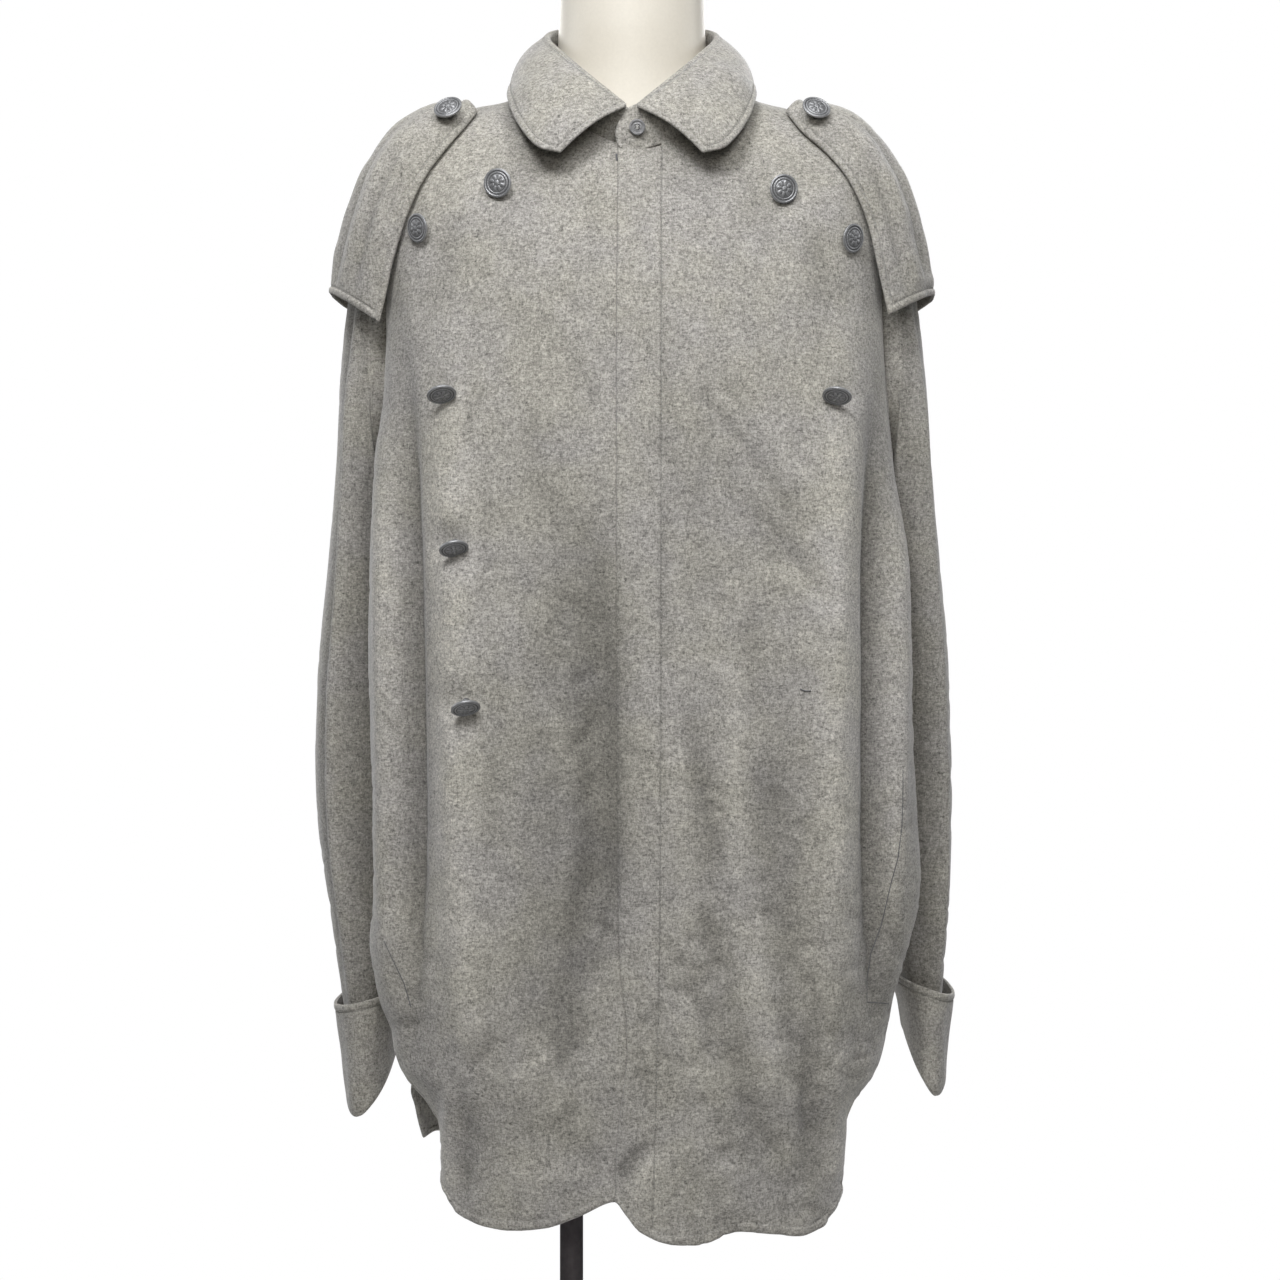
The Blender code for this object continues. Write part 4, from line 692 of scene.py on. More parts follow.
# Back, in millimetres across (x) and up (z): hidden, so drawn as its own uneven set of drapes.
BACK_CREASES = (
    (-150, 1290, -128, 650, 14, 24, 7.0, 0.2),
    (-112, 1240, -96, 600, -10, 19, -7.4, 0.0),
    (-64, 1180, -70, 570, 8, 22, 5.6, 0.2),
    (-18, 1270, -30, 560, -8, 18, -7.0, 0.0),
    (26, 1200, 14, 580, 6, 21, 6.0, -0.2),
    (70, 1290, 62, 600, 10, 20, -7.6, 0.1),
    (112, 1230, 116, 570, -8, 20, 6.4, 0.0),
    (152, 1280, 140, 640, -8, 14, -5.0, 0.0),
    (-170, 1330, -60, 1220, -18, 13, -2.0, 0.5),
    (-176, 1290, -84, 1150, -16, 12, 1.9, 0.3),
    (172, 1326, 66, 1232, 16, 13, -2.0, 0.4),
    (178, 1284, 92, 1160, 14, 12, 1.8, 0.3),
    (-150, 1090, -60, 1020, -10, 8, -1.6, 0.5),
    (150, 1070, 78, 1000, 9, 8, -1.5, 0.5),
    (-20, 1080, 44, 1030, 6, 8, -1.2, 0.4),
    (-130, 930, -70, 890, -5, 7, -1.3, 0.5),
    (60, 900, 130, 862, 6, 7, -1.3, 0.5),
    (-52, 850, 8, 800, -6, 7, -1.2, 0.4),
    (-152, 760, -96, 716, -4, 7, -1.2, 0.4),
    (30, 742, 92, 700, 5, 7, -1.3, 0.4),
    (-60, 690, -8, 650, -4, 7, -1.1, 0.4),
    (112, 680, 160, 640, 4, 7, -1.2, 0.4),
    (-130, 640, -80, 600, -4, 7, -1.0, 0.4),
    (0, 1370, 4, 1160, 6, 26, -1.6, 0.0),
    (-70, 1400, -96, 1290, 6, 16, -1.2, 0.2),
    (66, 1400, 92, 1290, -6, 16, -1.2, 0.2),
)
# Sleeves: degrees round from the outer line over the front, and rows down (0 crown, 13 cuff).
SLEEVE_CREASES = (
    (68, 0.4, 78, 12.6, 8, 15, 4.0, 0.2),
    (102, 1.0, 112, 12.2, -6, 13, -3.6, 0.0),
    (130, 1.2, 138, 12.4, 6, 14, 2.2, 0.0),
    (34, 0.6, 40, 12.6, -6, 14, -5.2, 0.2),
    (4, 1.6, 8, 12.0, 4, 12, 3.0, 0.0),
    (-30, 0.4, -26, 12.2, 8, 15, -4.2, 0.2),
    (-62, 0.6, -56, 12.6, -8, 15, 4.0, 0.0),
    (-96, 0.8, -92, 12.2, 7, 15, -4.4, 0.0),
    (-128, 1.2, -122, 12.0, -5, 14, 3.4, 0.0),
    (-156, 1.2, -152, 12.0, -5, 12, -3.0, 0.0),
    (176, 2.0, 178, 12.0, 3, 12, 2.0, 0.0),
)
SLEEVE_CREASES_SHORT = (
    (10, 6.2, 80, 7.2, 0.20, 0.22, -1.5, 0.4),
    (-40, 6.9, 50, 7.8, 0.20, 0.20, -1.3, 0.4),
    (30, 7.9, 120, 8.4, 0.15, 0.20, -1.3, 0.4),
    (-90, 7.0, -10, 7.6, -0.15, 0.22, -1.8, 0.4),
    (-120, 8.0, -30, 8.6, 0.15, 0.20, -1.5, 0.4),
    (-10, 9.3, 60, 9.7, 0.10, 0.16, -1.0, 0.4),
    (20, 10.6, 110, 11.1, 0.12, 0.17, -1.6, 0.5),
    (-60, 11.0, 30, 11.5, 0.12, 0.15, -1.4, 0.4),
    (40, 11.7, 130, 12.2, 0.10, 0.15, -1.7, 0.5),
    (-140, 11.2, -60, 11.8, 0.10, 0.16, -1.5, 0.4),
    (10, 3.2, 70, 4.6, 0.25, 0.30, -1.2, 0.3),
    (-80, 3.0, -20, 4.2, -0.25, 0.30, -1.6, 0.3),
    (100, 4.4, 150, 5.6, 0.20, 0.25, -1.2, 0.3),
)
# Capelets: across (-1 front edge, 1 back edge) and rows down from the neck end.
CAPE_CREASES = (
    (-0.66, 2.2, -0.70, 8.3, 0.02, 0.055, -1.6, 0.2),
    (-0.50, 1.6, -0.52, 8.3, 0.03, 0.075, 1.5, 0.0),
    (-0.34, 2.0, -0.34, 8.3, -0.02, 0.065, -2.0, 0.2),
    (-0.14, 2.6, -0.15, 8.3, 0.02, 0.080, 1.6, 0.0),
    (0.04, 2.2, 0.06, 8.3, 0.02, 0.070, -1.7, 0.0),
    (0.30, 2.4, 0.30, 8.3, -0.03, 0.085, 1.7, 0.0),
    (0.54, 2.6, 0.56, 8.3, 0.02, 0.075, -1.7, 0.2),
    (0.76, 3.0, 0.78, 8.3, 0.02, 0.060, 1.1, 0.0),
)
CAPE_CREASES_SHORT = (
    (-0.80, 7.4, 0.10, 7.7, 0.10, 0.22, 0.8, 0.3),
    (-0.30, 3.4, 0.30, 3.9, -0.15, 0.20, -0.7, 0.3),
)
# Collar leaf: round (-8 and 8 the points, 0 the centre back) and from the roll (0) to the edge (1).
COLLAR_CREASES = (
    (-7.4, 0.10, -5.9, 0.62, 0.10, 0.12, -1.5, 0.3),
    (-6.3, 0.00, -5.0, 0.80, 0.15, 0.16, 1.4, 0.0),
    (-5.2, 0.05, -4.4, 0.90, 0.10, 0.14, -1.3, 0.3),
    (5.4, 0.10, 5.0, 0.92, -0.10, 0.16, 1.7, 0.2),
    (6.0, 0.10, 5.7, 0.92, 0.10, 0.14, -1.6, 0.3),
    (6.8, 0.25, 7.5, 0.72, 0.10, 0.13, 0.9, 0.0),
    (-2.0, 0.10, -1.6, 0.90, 0.10, 0.15, -1.0, 0.2),
    (1.8, 0.10, 1.4, 0.90, 0.10, 0.15, -1.1, 0.2),
)


# ----------------------------------------------------------------------------- fine grids
def lengths(P):
    """Distance run along each row of points."""
    step = np.linalg.norm(np.diff(P, axis=0), axis=-1)
    return np.concatenate((np.zeros((1,) + step.shape[1:]), np.cumsum(step, axis=0)))


def spaced(total, step, dense_start=(), dense_end=()):
    """Places 0..total at about one step, with extra ones near the ends where edges are finished."""
    lo = max(dense_start) if dense_start else 0.0
    hi = total - (max(dense_end) if dense_end else 0.0)
    mid = np.linspace(lo, hi, max(2, int(round((hi - lo) / step)) + 1))
    first = sorted(d for d in dense_start if d < lo)
    last = sorted((total - d for d in dense_end if total - d > hi))
    return np.array(sorted(set([0.0, total] + first + list(mid) + last)))


EDGE_FINE = (0.0, 0.0007, 0.0016, 0.0028, 0.0042, 0.0052, 0.0060, 0.0066, 0.0074, 0.0086, 0.0105)


def grid_normals(P, ref, around=False):
    if around:
        dc = np.roll(P, -1, axis=1) - np.roll(P, 1, axis=1)
    else:
        dc = np.gradient(P, axis=1)
    dr = np.gradient(P, axis=0)
    n = unit(np.cross(dr, dc))
    return n if np.sum(n * ref) > 0 else -n


def link(mesh_name, verts, faces, smooth=True):
    mesh = bpy.data.meshes.new(mesh_name)
    mesh.from_pydata([tuple(v) for v in np.asarray(verts)], [], [tuple(int(i) for i in f) for f in faces])
    bm = bmesh.new()
    bm.from_mesh(mesh)
    bmesh.ops.recalc_face_normals(bm, faces=bm.faces)
    bm.to_mesh(mesh)
    bm.free()
    if smooth:
        mesh.shade_smooth()
    obj = bpy.data.objects.new(mesh_name, mesh)
    bpy.context.scene.collection.objects.link(obj)
    return obj


def shell(name, P, wall, ref, mat, around=False, plus=0.0, minus=0.0, painted_shading=None):
    """A closed cloth wall round a grid of middle points, with rounded open edges.

    last argument: painted shade and painted highlight for each point, -1..1: how deep it lies in a fold (painted
    darker), with painted shade on the sleeves' fronts added and painted highlight below 0 on crests and the tails'
    edges; kept on the mesh for the cloth's colour."""
    R, C = P.shape[:2]
    N = grid_normals(P, ref, around)
    half = np.broadcast_to(np.asarray(wall, float) / 2, (R, C))
    outer = P + N * (half + plus)[..., None]
    inner = P - N * (half + minus)[..., None]
    idx = np.arange(R * C).reshape(R, C)
    if around:
        a, b = idx[:-1], np.roll(idx, -1, axis=1)[:-1]
        c, d = np.roll(idx, -1, axis=1)[1:], idx[1:]
    else:
        a, b, c, d = idx[:-1, :-1], idx[:-1, 1:], idx[1:, 1:], idx[1:, :-1]
    quads = np.stack((a, d, c, b), -1).reshape(-1, 4)
    faces = [quads, quads[:, ::-1] + R * C]
    verts = [outer.reshape(-1, 3), inner.reshape(-1, 3)]
    loops = []
    if around:
        loops.append([(0, j) for j in range(C)])
        loops.append([(R - 1, j) for j in range(C)])
    else:
        loops.append([(0, j) for j in range(C)] + [(i, C - 1) for i in range(1, R)]
                     + [(R - 1, j) for j in range(C - 2, -1, -1)] + [(i, 0) for i in range(R - 2, 0, -1)])
    base = 2 * R * C
    for loop in loops:
        ii = np.array([p[0] for p in loop])
        jj = np.array([p[1] for p in loop])
        back_i = np.clip(ii, 1, R - 2)
        back_j = jj if around else np.clip(jj, 1, C - 2)
        away = unit(P[ii, jj] - P[back_i, back_j])
        thick = np.linalg.norm(outer[ii, jj] - inner[ii, jj], axis=-1)
        mid = (outer[ii, jj] + inner[ii, jj]) / 2 + away * (thick * 0.34)[:, None]
        verts.append(mid)
        o = idx[ii, jj]
        m = base + np.arange(len(loop))
        o2, m2 = np.roll(o, -1), np.roll(m, -1)
        faces.append(np.stack((o, o2, m2, m), -1))
        faces.append(np.stack((m, m2, o2 + R * C, o + R * C), -1))
        base += len(loop)
    obj = link(name, np.concatenate(verts), np.concatenate(faces))
    obj.data.materials.append(mat)
    # painted shade and painted highlight for each outer point, kept as a mesh attribute for the cloth's colour
    if painted_shading is not None:
        deep = np.zeros(len(obj.data.vertices))
        deep[:R * C] = np.clip(np.broadcast_to(painted_shading, (R, C)), -1.0, 1.0).ravel()
        obj.data.attributes.new("painted_shading", "FLOAT", "POINT").data.foreach_set("value", deep.astype(np.float32))
    return obj, N


def hem_bulge(d, wide=0.0066, rise=0.0008):
    """Extra height of a turned and stitched hem at distance d from the edge."""
    body = rise * (1 - smoothstep(wide - 0.0006, wide + 0.0012, d))
    edge = -0.0005 * (1 - smoothstep(0.0, 0.0014, d))
    seam = -0.0007 * np.exp(-((d - wide) / 0.0007) ** 2)
    return body + edge + seam


def bagged_edge(d, wide=0.0056, rise=0.0008):
    """Bead and stitched groove along a bagged-out edge."""
    bead = rise * np.exp(-((d - wide * 0.45) / (wide * 0.42)) ** 2)
    seam = -0.0010 * np.exp(-((d - wide) / 0.0008) ** 2)
    return bead + seam


def add_stitches(store, P, N, pitch=0.0031, long=0.0021, wide=0.00045, tall=0.00030, sink=0.0):
    """Short threads laid along a line of points, gathered in a store of vertices and faces."""
    P, N = np.asarray(P, float), np.asarray(N, float)
    run = lengths(P)
    count = int(run[-1] / pitch)
    if count < 1:
        return
    s = (np.arange(count) + 0.5) * pitch
    p = np.stack([np.interp(s, run, P[:, k]) for k in range(3)], -1)
    n = unit(np.stack([np.interp(s, run, N[:, k]) for k in range(3)], -1))
    e = 0.0008
    ahead = np.stack([np.interp(s + e, run, P[:, k]) for k in range(3)], -1)
    behind = np.stack([np.interp(s - e, run, P[:, k]) for k in range(3)], -1)
    t = unit(ahead - behind)
    side = unit(np.cross(n, t))
    p = p - n * sink
    rings = []
    for at, grow in ((-0.34, 0.75), (0.0, 1.0), (0.34, 0.75)):
        ring = []
        for k in range(5):
            a = 2 * math.pi * k / 5 + 0.3
            ring.append(p + t * (at * long) + side * (wide * grow * math.cos(a))
                        + n * (tall * grow * (math.sin(a) + 0.3)))
        rings.append(ring)
    tips = [p - t * (0.55 * long) - n * tall, p + t * (0.55 * long) - n * tall]
    block = np.stack([tips[0]] + [v for ring in rings for v in ring] + [tips[1]], 1)
    size = block.shape[1]
    local = []
    for k in range(5):
        j = (k + 1) % 5
        local.append((0, 1 + j, 1 + k, 1 + k))
        for r in (0, 1):
            local.append((1 + r * 5 + k, 1 + r * 5 + j, 6 + r * 5 + j, 6 + r * 5 + k))
        local.append((11 + k, 11 + j, size - 1, size - 1))
    start = store["n"]
    for i in range(count):
        off = start + i * size
        for f in local:
            g = [off + v for v in f]
            store["f"].append(g[:3] if f[2] == f[3] else g)
    store["v"].append(block.reshape(-1, 3))
    store["n"] += count * size


def new_store():
    return {"v": [], "f": [], "n": 0}


def stitch_object(name, store, mat):
    obj = link(name, np.concatenate(store["v"]), store["f"])
    obj.data.materials.append(mat)
    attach(obj, "root")
    return obj


def tree_of(obj):
    bm = bmesh.new()
    bm.from_mesh(obj.data)
    tree = BVHTree.FromBMesh(bm)
    bm.free()
    return tree


def seen(trees, u, v):
    """The point of the cloth that the camera sees at (u, v), and the cloth's normal there."""
    eye = Vector((0.0, EYE_Y, EYE_Z))
    way = Vector(((u - VIEW_MID_U) * VIEW_UNIT, -EYE_Y, (VIEW_MID_V - v) * VIEW_UNIT)).normalized()
    best = None
    for tree in trees:
        p, n, _, d = tree.ray_cast(eye, way)
        if p is not None and (best is None or d < best[2]):
            best = (p, n if n.dot(way) < 0 else -n, d)
    return (np.array(best[0]), np.array(best[1])) if best else (None, None)


def seen_line(trees, points, step=3.0):
    """Points and normals of the cloth under a line drawn in view units."""
    P, N = [], []
    for (u0, v0), (u1, v1) in zip(points[:-1], points[1:]):
        k = max(1, int(math.hypot(u1 - u0, v1 - v0) / step))
        for i in range(k):
            p, n = seen(trees, u0 + (u1 - u0) * i / k, v0 + (v1 - v0) * i / k)
            if p is not None:
                P.append(p)
                N.append(n)
    p, n = seen(trees, *points[-1])
    if p is not None:
        P.append(p)
        N.append(n)
    N = np.array(N)
    if len(N) > 4:
        N[1:-1] = unit(N[:-2] + N[1:-1] + N[2:])
    return np.array(P), N


# ----------------------------------------------------------------------------- materials
def nodes_of(mat):
    mat.use_nodes = True
    tree = mat.node_tree
    tree.nodes.clear()
    out = tree.nodes.new("ShaderNodeOutputMaterial")
    shader = tree.nodes.new("ShaderNodeBsdfPrincipled")
    tree.links.new(shader.outputs["BSDF"], out.inputs["Surface"])
    return tree, shader


def noise_node(tree, vector, scale, detail=2.0, rough=0.5, distortion=0.0):
    node = tree.nodes.new("ShaderNodeTexNoise")
    node.inputs["Scale"].default_value = scale
    node.inputs["Detail"].default_value = detail
    node.inputs["Roughness"].default_value = rough
    node.inputs["Distortion"].default_value = distortion
    tree.links.new(vector, node.inputs["Vector"])
    return node.outputs["Fac"]


def ramp(tree, fac, stops, smooth=False):
    node = tree.nodes.new("ShaderNodeValToRGB")
    cr = node.color_ramp
    cr.interpolation = "EASE" if smooth else "LINEAR"
    while len(cr.elements) < len(stops):
        cr.elements.new(0.5)
    for element, (pos, colour) in zip(cr.elements, stops):
        element.position = pos
        element.color = (*colour, 1.0) if len(colour) == 3 else colour
    tree.links.new(fac, node.inputs["Fac"])
    return node.outputs["Color"]


def grey(v):
    return (v, v, v)


def mix(tree, kind, fac, a, b):
    node = tree.nodes.new("ShaderNodeMix")
    node.data_type = "RGBA"
    node.blend_type = kind
    node.clamp_factor = True
    for socket, value in ((node.inputs[0], fac), (node.inputs[6], a), (node.inputs[7], b)):
        if isinstance(value, (int, float)):
            socket.default_value = value
        elif isinstance(value, tuple):
            socket.default_value = (*value, 1.0)
        else:
            tree.links.new(value, socket)
    return node.outputs[2]


def maths(tree, op, a, b=0.0, clamp=False):
    node = tree.nodes.new("ShaderNodeMath")
    node.operation = op
    node.use_clamp = clamp
    for socket, value in ((node.inputs[0], a), (node.inputs[1], b)):
        if isinstance(value, (int, float)):
            socket.default_value = value
        else:
            tree.links.new(value, socket)
    return node.outputs[0]


def place_vector(tree, scale=(1.0, 1.0, 1.0), turn=(0.0, 0.0, 0.0)):
    coord = tree.nodes.new("ShaderNodeTexCoord")
    mapping = tree.nodes.new("ShaderNodeMapping")
    mapping.inputs["Scale"].default_value = scale
    mapping.inputs["Rotation"].default_value = turn
    tree.links.new(coord.outputs["Object"], mapping.inputs["Vector"])
    return mapping.outputs["Vector"]


FLANNEL_BASE = (0.361, 0.347, 0.323)


def flannel_material(name, tint=(1.0, 1.0, 1.0), light=1.0):
    """Grey melange wool flannel: dark and pale fibres in short streaks, clouded, with a nap."""
    mat = bpy.data.materials.new(name)
    tree, shader = nodes_of(mat)
    here = place_vector(tree)
    across = place_vector(tree, (0.45, 0.45, 1.15))
    upward = place_vector(tree, (1.1, 1.1, 0.55))
    slant = place_vector(tree, (1.2, 1.2, 0.6), (0.5, 0.9, 0.3))

    base = tuple(c * t * light for c, t in zip(FLANNEL_BASE, tint))
    # melange: streaky fibre mix at two scales
    streak_a = noise_node(tree, across, 620.0, 3.0, 0.62, 0.6)
    streak_b = noise_node(tree, upward, 560.0, 3.0, 0.60, 0.8)
    streak_c = noise_node(tree, slant, 900.0, 2.0, 0.55, 0.5)
    mixed = maths(tree, "ADD", maths(tree, "MULTIPLY", streak_a, 0.42), maths(tree, "MULTIPLY", streak_b, 0.36))
    mixed = maths(tree, "ADD", mixed, maths(tree, "MULTIPLY", streak_c, 0.22))
    melange = ramp(tree, mixed, ((0.34, grey(0.27)), (0.43, grey(0.66)), (0.52, grey(1.06)), (0.61, grey(1.52)), (0.71, grey(1.90))))
    colour = mix(tree, "MULTIPLY", 1.0, base, melange)
    # dark flecks and pale flecks
    fleck = noise_node(tree, here, 360.0, 2.0, 0.55, 1.2)
    dark = ramp(tree, fleck, ((0.28, grey(1.0)), (0.37, grey(0.0))), True)
    colour = mix(tree, "MIX", maths(tree, "MULTIPLY", dark, 0.58), colour, tuple(c * 0.42 for c in base))
    pale = ramp(tree, fleck, ((0.62, grey(0.0)), (0.72, grey(1.0))), True)
    colour = mix(tree, "MIX", maths(tree, "MULTIPLY", pale, 0.40), colour, tuple(min(1.0, c * 1.72) for c in base))
    # clouding, and a little warmth that comes and goes
    cloud = noise_node(tree, here, 62.0, 4.0, 0.60, 0.3)
    colour = mix(tree, "MULTIPLY", 1.0, colour, ramp(tree, cloud, ((0.30, grey(0.91)), (0.70, grey(1.07)))))
    wide = noise_node(tree, here, 17.0, 3.0, 0.55, 0.2)
    warm = ramp(tree, wide, ((0.36, (0.994, 0.994, 1.006)), (0.62, (1.010, 1.009, 0.965))))
    colour = mix(tree, "MULTIPLY", 1.0, colour, warm)
    # painted shade and painted highlight: the colour is made darker down in the folds and on the sleeves' fronts, and
    # paler on the fold crests and the tails' outer edges, from the painted shading kept on the mesh
    fold = tree.nodes.new("ShaderNodeAttribute")
    fold.attribute_name = "painted_shading"
    painted_shading_at = maths(tree, "ADD", maths(tree, "MULTIPLY", fold.outputs["Fac"], 0.5), 0.5)
    colour = mix(tree, "MULTIPLY", 1.0, colour, ramp(tree, painted_shading_at, ((0.0, grey(1.30)), (0.5, grey(1.0)), (1.0, grey(0.60)))))
    tree.links.new(colour, shader.inputs["Base Color"])

    rough = ramp(tree, cloud, ((0.2, grey(0.90)), (0.8, grey(1.0))))
    tree.links.new(rough, shader.inputs["Roughness"])
    shader.inputs["Specular IOR Level"].default_value = 0.18
    shader.inputs["Sheen Weight"].default_value = 0.30
    shader.inputs["Sheen Roughness"].default_value = 0.42
    shader.inputs["Sheen Tint"].default_value = (0.95, 0.95, 0.97, 1.0)

    nap = noise_node(tree, here, 1500.0, 3.0, 0.65, 0.4)
    height = maths(tree, "ADD", maths(tree, "MULTIPLY", mixed, 0.55), maths(tree, "MULTIPLY", nap, 0.45))
    height = maths(tree, "ADD", height, maths(tree, "MULTIPLY", cloud, 0.5))
    bump = tree.nodes.new("ShaderNodeBump")
    bump.inputs["Strength"].default_value = 0.30
    bump.inputs["Distance"].default_value = 0.0011
    tree.links.new(height, bump.inputs["Height"])
    tree.links.new(bump.outputs["Normal"], shader.inputs["Normal"])
    return mat


def thread_material(name, colour, rough=0.6):
    mat = bpy.data.materials.new(name)
    tree, shader = nodes_of(mat)
    fine = noise_node(tree, place_vector(tree), 2600.0, 2.0, 0.6)
    shade = ramp(tree, fine, ((0.3, grey(0.72)), (0.7, grey(1.22))))
    tree.links.new(mix(tree, "MULTIPLY", 1.0, colour, shade), shader.inputs["Base Color"])
    shader.inputs["Roughness"].default_value = rough
    shader.inputs["Sheen Weight"].default_value = 0.2
    return mat


def cover_material():
    """Cream cover of the dress form: smooth, with a faint cast of use."""
    mat = bpy.data.materials.new("form_cream")
    tree, shader = nodes_of(mat)
    here = place_vector(tree)
    cloud = noise_node(tree, here, 9.0, 4.0, 0.55)
    fine = noise_node(tree, here, 420.0, 3.0, 0.6)
    colour = ramp(tree, cloud, ((0.3, (0.670, 0.628, 0.545)), (0.7, (0.735, 0.700, 0.625))))
    colour = mix(tree, "MULTIPLY", 1.0, colour, ramp(tree, fine, ((0.25, grey(0.965)), (0.75, grey(1.02)))))
    tree.links.new(colour, shader.inputs["Base Color"])
    tree.links.new(ramp(tree, cloud, ((0.2, grey(0.42)), (0.8, grey(0.56)))), shader.inputs["Roughness"])
    shader.inputs["Specular IOR Level"].default_value = 0.38
    bump = tree.nodes.new("ShaderNodeBump")
    bump.inputs["Strength"].default_value = 0.10
    bump.inputs["Distance"].default_value = 0.0006
    tree.links.new(fine, bump.inputs["Height"])
    tree.links.new(bump.outputs["Normal"], shader.inputs["Normal"])
    return mat


def metal_material(name, colour, rough, brushed=0.0, metal=1.0):
    mat = bpy.data.materials.new(name)
    tree, shader = nodes_of(mat)
    scale = (1.0, 1.0, 0.04) if brushed else (1.0, 1.0, 1.0)
    grain = noise_node(tree, place_vector(tree, scale), 1400.0 if brushed else 160.0, 3.0, 0.6)
    cloud = noise_node(tree, place_vector(tree), 24.0, 4.0, 0.6)
    shade = mix(tree, "MULTIPLY", 1.0, ramp(tree, grain, ((0.3, grey(0.86)), (0.7, grey(1.12)))),
                ramp(tree, cloud, ((0.3, grey(0.90)), (0.7, grey(1.08)))))
    tree.links.new(mix(tree, "MULTIPLY", 1.0, colour, shade), shader.inputs["Base Color"])
    tree.links.new(ramp(tree, cloud, ((0.2, grey(rough - 0.03)), (0.8, grey(rough + 0.04)))),
                   shader.inputs["Roughness"])
    shader.inputs["Metallic"].default_value = metal
    bump = tree.nodes.new("ShaderNodeBump")
    bump.inputs["Strength"].default_value = 0.06 + brushed * 0.08
    bump.inputs["Distance"].default_value = 0.0003
    tree.links.new(grain, bump.inputs["Height"])
    tree.links.new(bump.outputs["Normal"], shader.inputs["Normal"])
    return mat


def antique_material():
    """Cast button metal: rubbed bright on its ridges and dark in its hollows, the darkness partly the antique finish
    and partly painted shade.
    """
    mat = bpy.data.materials.new("button_antique_metal")
    tree, shader = nodes_of(mat)
    geo = tree.nodes.new("ShaderNodeNewGeometry")
    # dark in the hollows and bright on the ridges: partly the antique finish, partly painted shade in the hollows
    ridge = ramp(tree, geo.outputs["Pointiness"], ((0.43, grey(0.0)), (0.57, grey(1.0))))
    cloud = noise_node(tree, place_vector(tree), 210.0, 4.0, 0.65)
    ridge = maths(tree, "ADD", ridge, maths(tree, "MULTIPLY", maths(tree, "SUBTRACT", cloud, 0.5), 0.5), True)
    colour = mix(tree, "MIX", ridge, (0.062, 0.062, 0.066), (0.400, 0.405, 0.415))
    tree.links.new(colour, shader.inputs["Base Color"])
    tree.links.new(ramp(tree, ridge, ((0.0, grey(0.62)), (1.0, grey(0.34)))), shader.inputs["Roughness"])
    shader.inputs["Metallic"].default_value = 0.55
    bump = tree.nodes.new("ShaderNodeBump")
    bump.inputs["Strength"].default_value = 0.20
    bump.inputs["Distance"].default_value = 0.0003
    tree.links.new(cloud, bump.inputs["Height"])
    tree.links.new(bump.outputs["Normal"], shader.inputs["Normal"])
    return mat


def plastic_material():
    mat = bpy.data.materials.new("button_grey_plastic")
    tree, shader = nodes_of(mat)
    swirl = noise_node(tree, place_vector(tree), 150.0, 3.0, 0.5, 1.8)
    colour = ramp(tree, swirl, ((0.3, (0.150, 0.150, 0.155)), (0.7, (0.270, 0.270, 0.275))))
    tree.links.new(colour, shader.inputs["Base Color"])
    shader.inputs["Roughness"].default_value = 0.36
    shader.inputs["Coat Weight"].default_value = 0.15
    shader.inputs["Coat Roughness"].default_value = 0.25
    return mat


FLANNEL = flannel_material("flannel_grey_melange")
THREAD = thread_material("thread_grey", (0.30, 0.295, 0.275))
THREAD_PALE = thread_material("thread_pale", (0.62, 0.61, 0.59))
# dark thread for the shanks and the loose thread end, also used for the dark lines painted as shadow in seam grooves
# and the strip's top gap
DARK_THREAD_AND_PAINTED_SHADOW = thread_material("thread_dark_and_painted_shadow", (0.11, 0.11, 0.115))
CREAM = cover_material()
POLE = metal_material("pole_dark_metal", (0.150, 0.135, 0.140), 0.30, 0.0, 0.6)
PLATE = metal_material("base_brushed_steel", (0.36, 0.36, 0.37), 0.34, 1.0)
ANTIQUE = antique_material()
PLASTIC = plastic_material()


# ----------------------------------------------------------------------------- pieces of cloth
STEP = 0.0032                  # grid step of the cloth


def wear(obj, *nodes, slot="flannel"):
    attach(obj, "root")
    if nodes:
        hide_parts(*nodes)


def rows_down(side_q, t0=0.0, step=STEP, fine_top=(), fine_end=EDGE_FINE):
    """Row numbers an even step apart down the sheet, closer at the hem."""
    dense = np.linspace(t0, T_HEM, 1500)
    run = lengths(body_point(side_q + 0 * dense, dense))
    at = spaced(run[-1], step, fine_top, fine_end)
    return np.interp(at, run, dense), run[-1] - at


def side_distance(P, end):
    """Distance of each point from the last (end=-1) or first column, along its row."""
    run = lengths(np.swapaxes(P, 0, 1)).T
    return run[:, -1:] - run if end < 0 else run


BIG_FOLDS = 13                 # the first rows of FRONT_CREASES are the broad folds
# where the front's buttons sit, in view units: the folds go flat under them
BUTTON_FLATS = ((419, 226), (856, 237), (443, 389), (833, 391), (458, 543), (470, 701))


def softened(table, wider=1.3, taller=1.25):
    return [(a0, b0, a1, b1, bow, w * wider, h * taller, skew) for a0, b0, a1, b1, bow, w, h, skew in table]


def in_valley(relief, deepest=0.011, highest=0.009):
    """-1 on the crest of a fold, 1 at the bottom of one."""
    return np.where(relief < 0, np.minimum(-relief / deepest, 1.0), -np.minimum(relief / highest, 1.0))


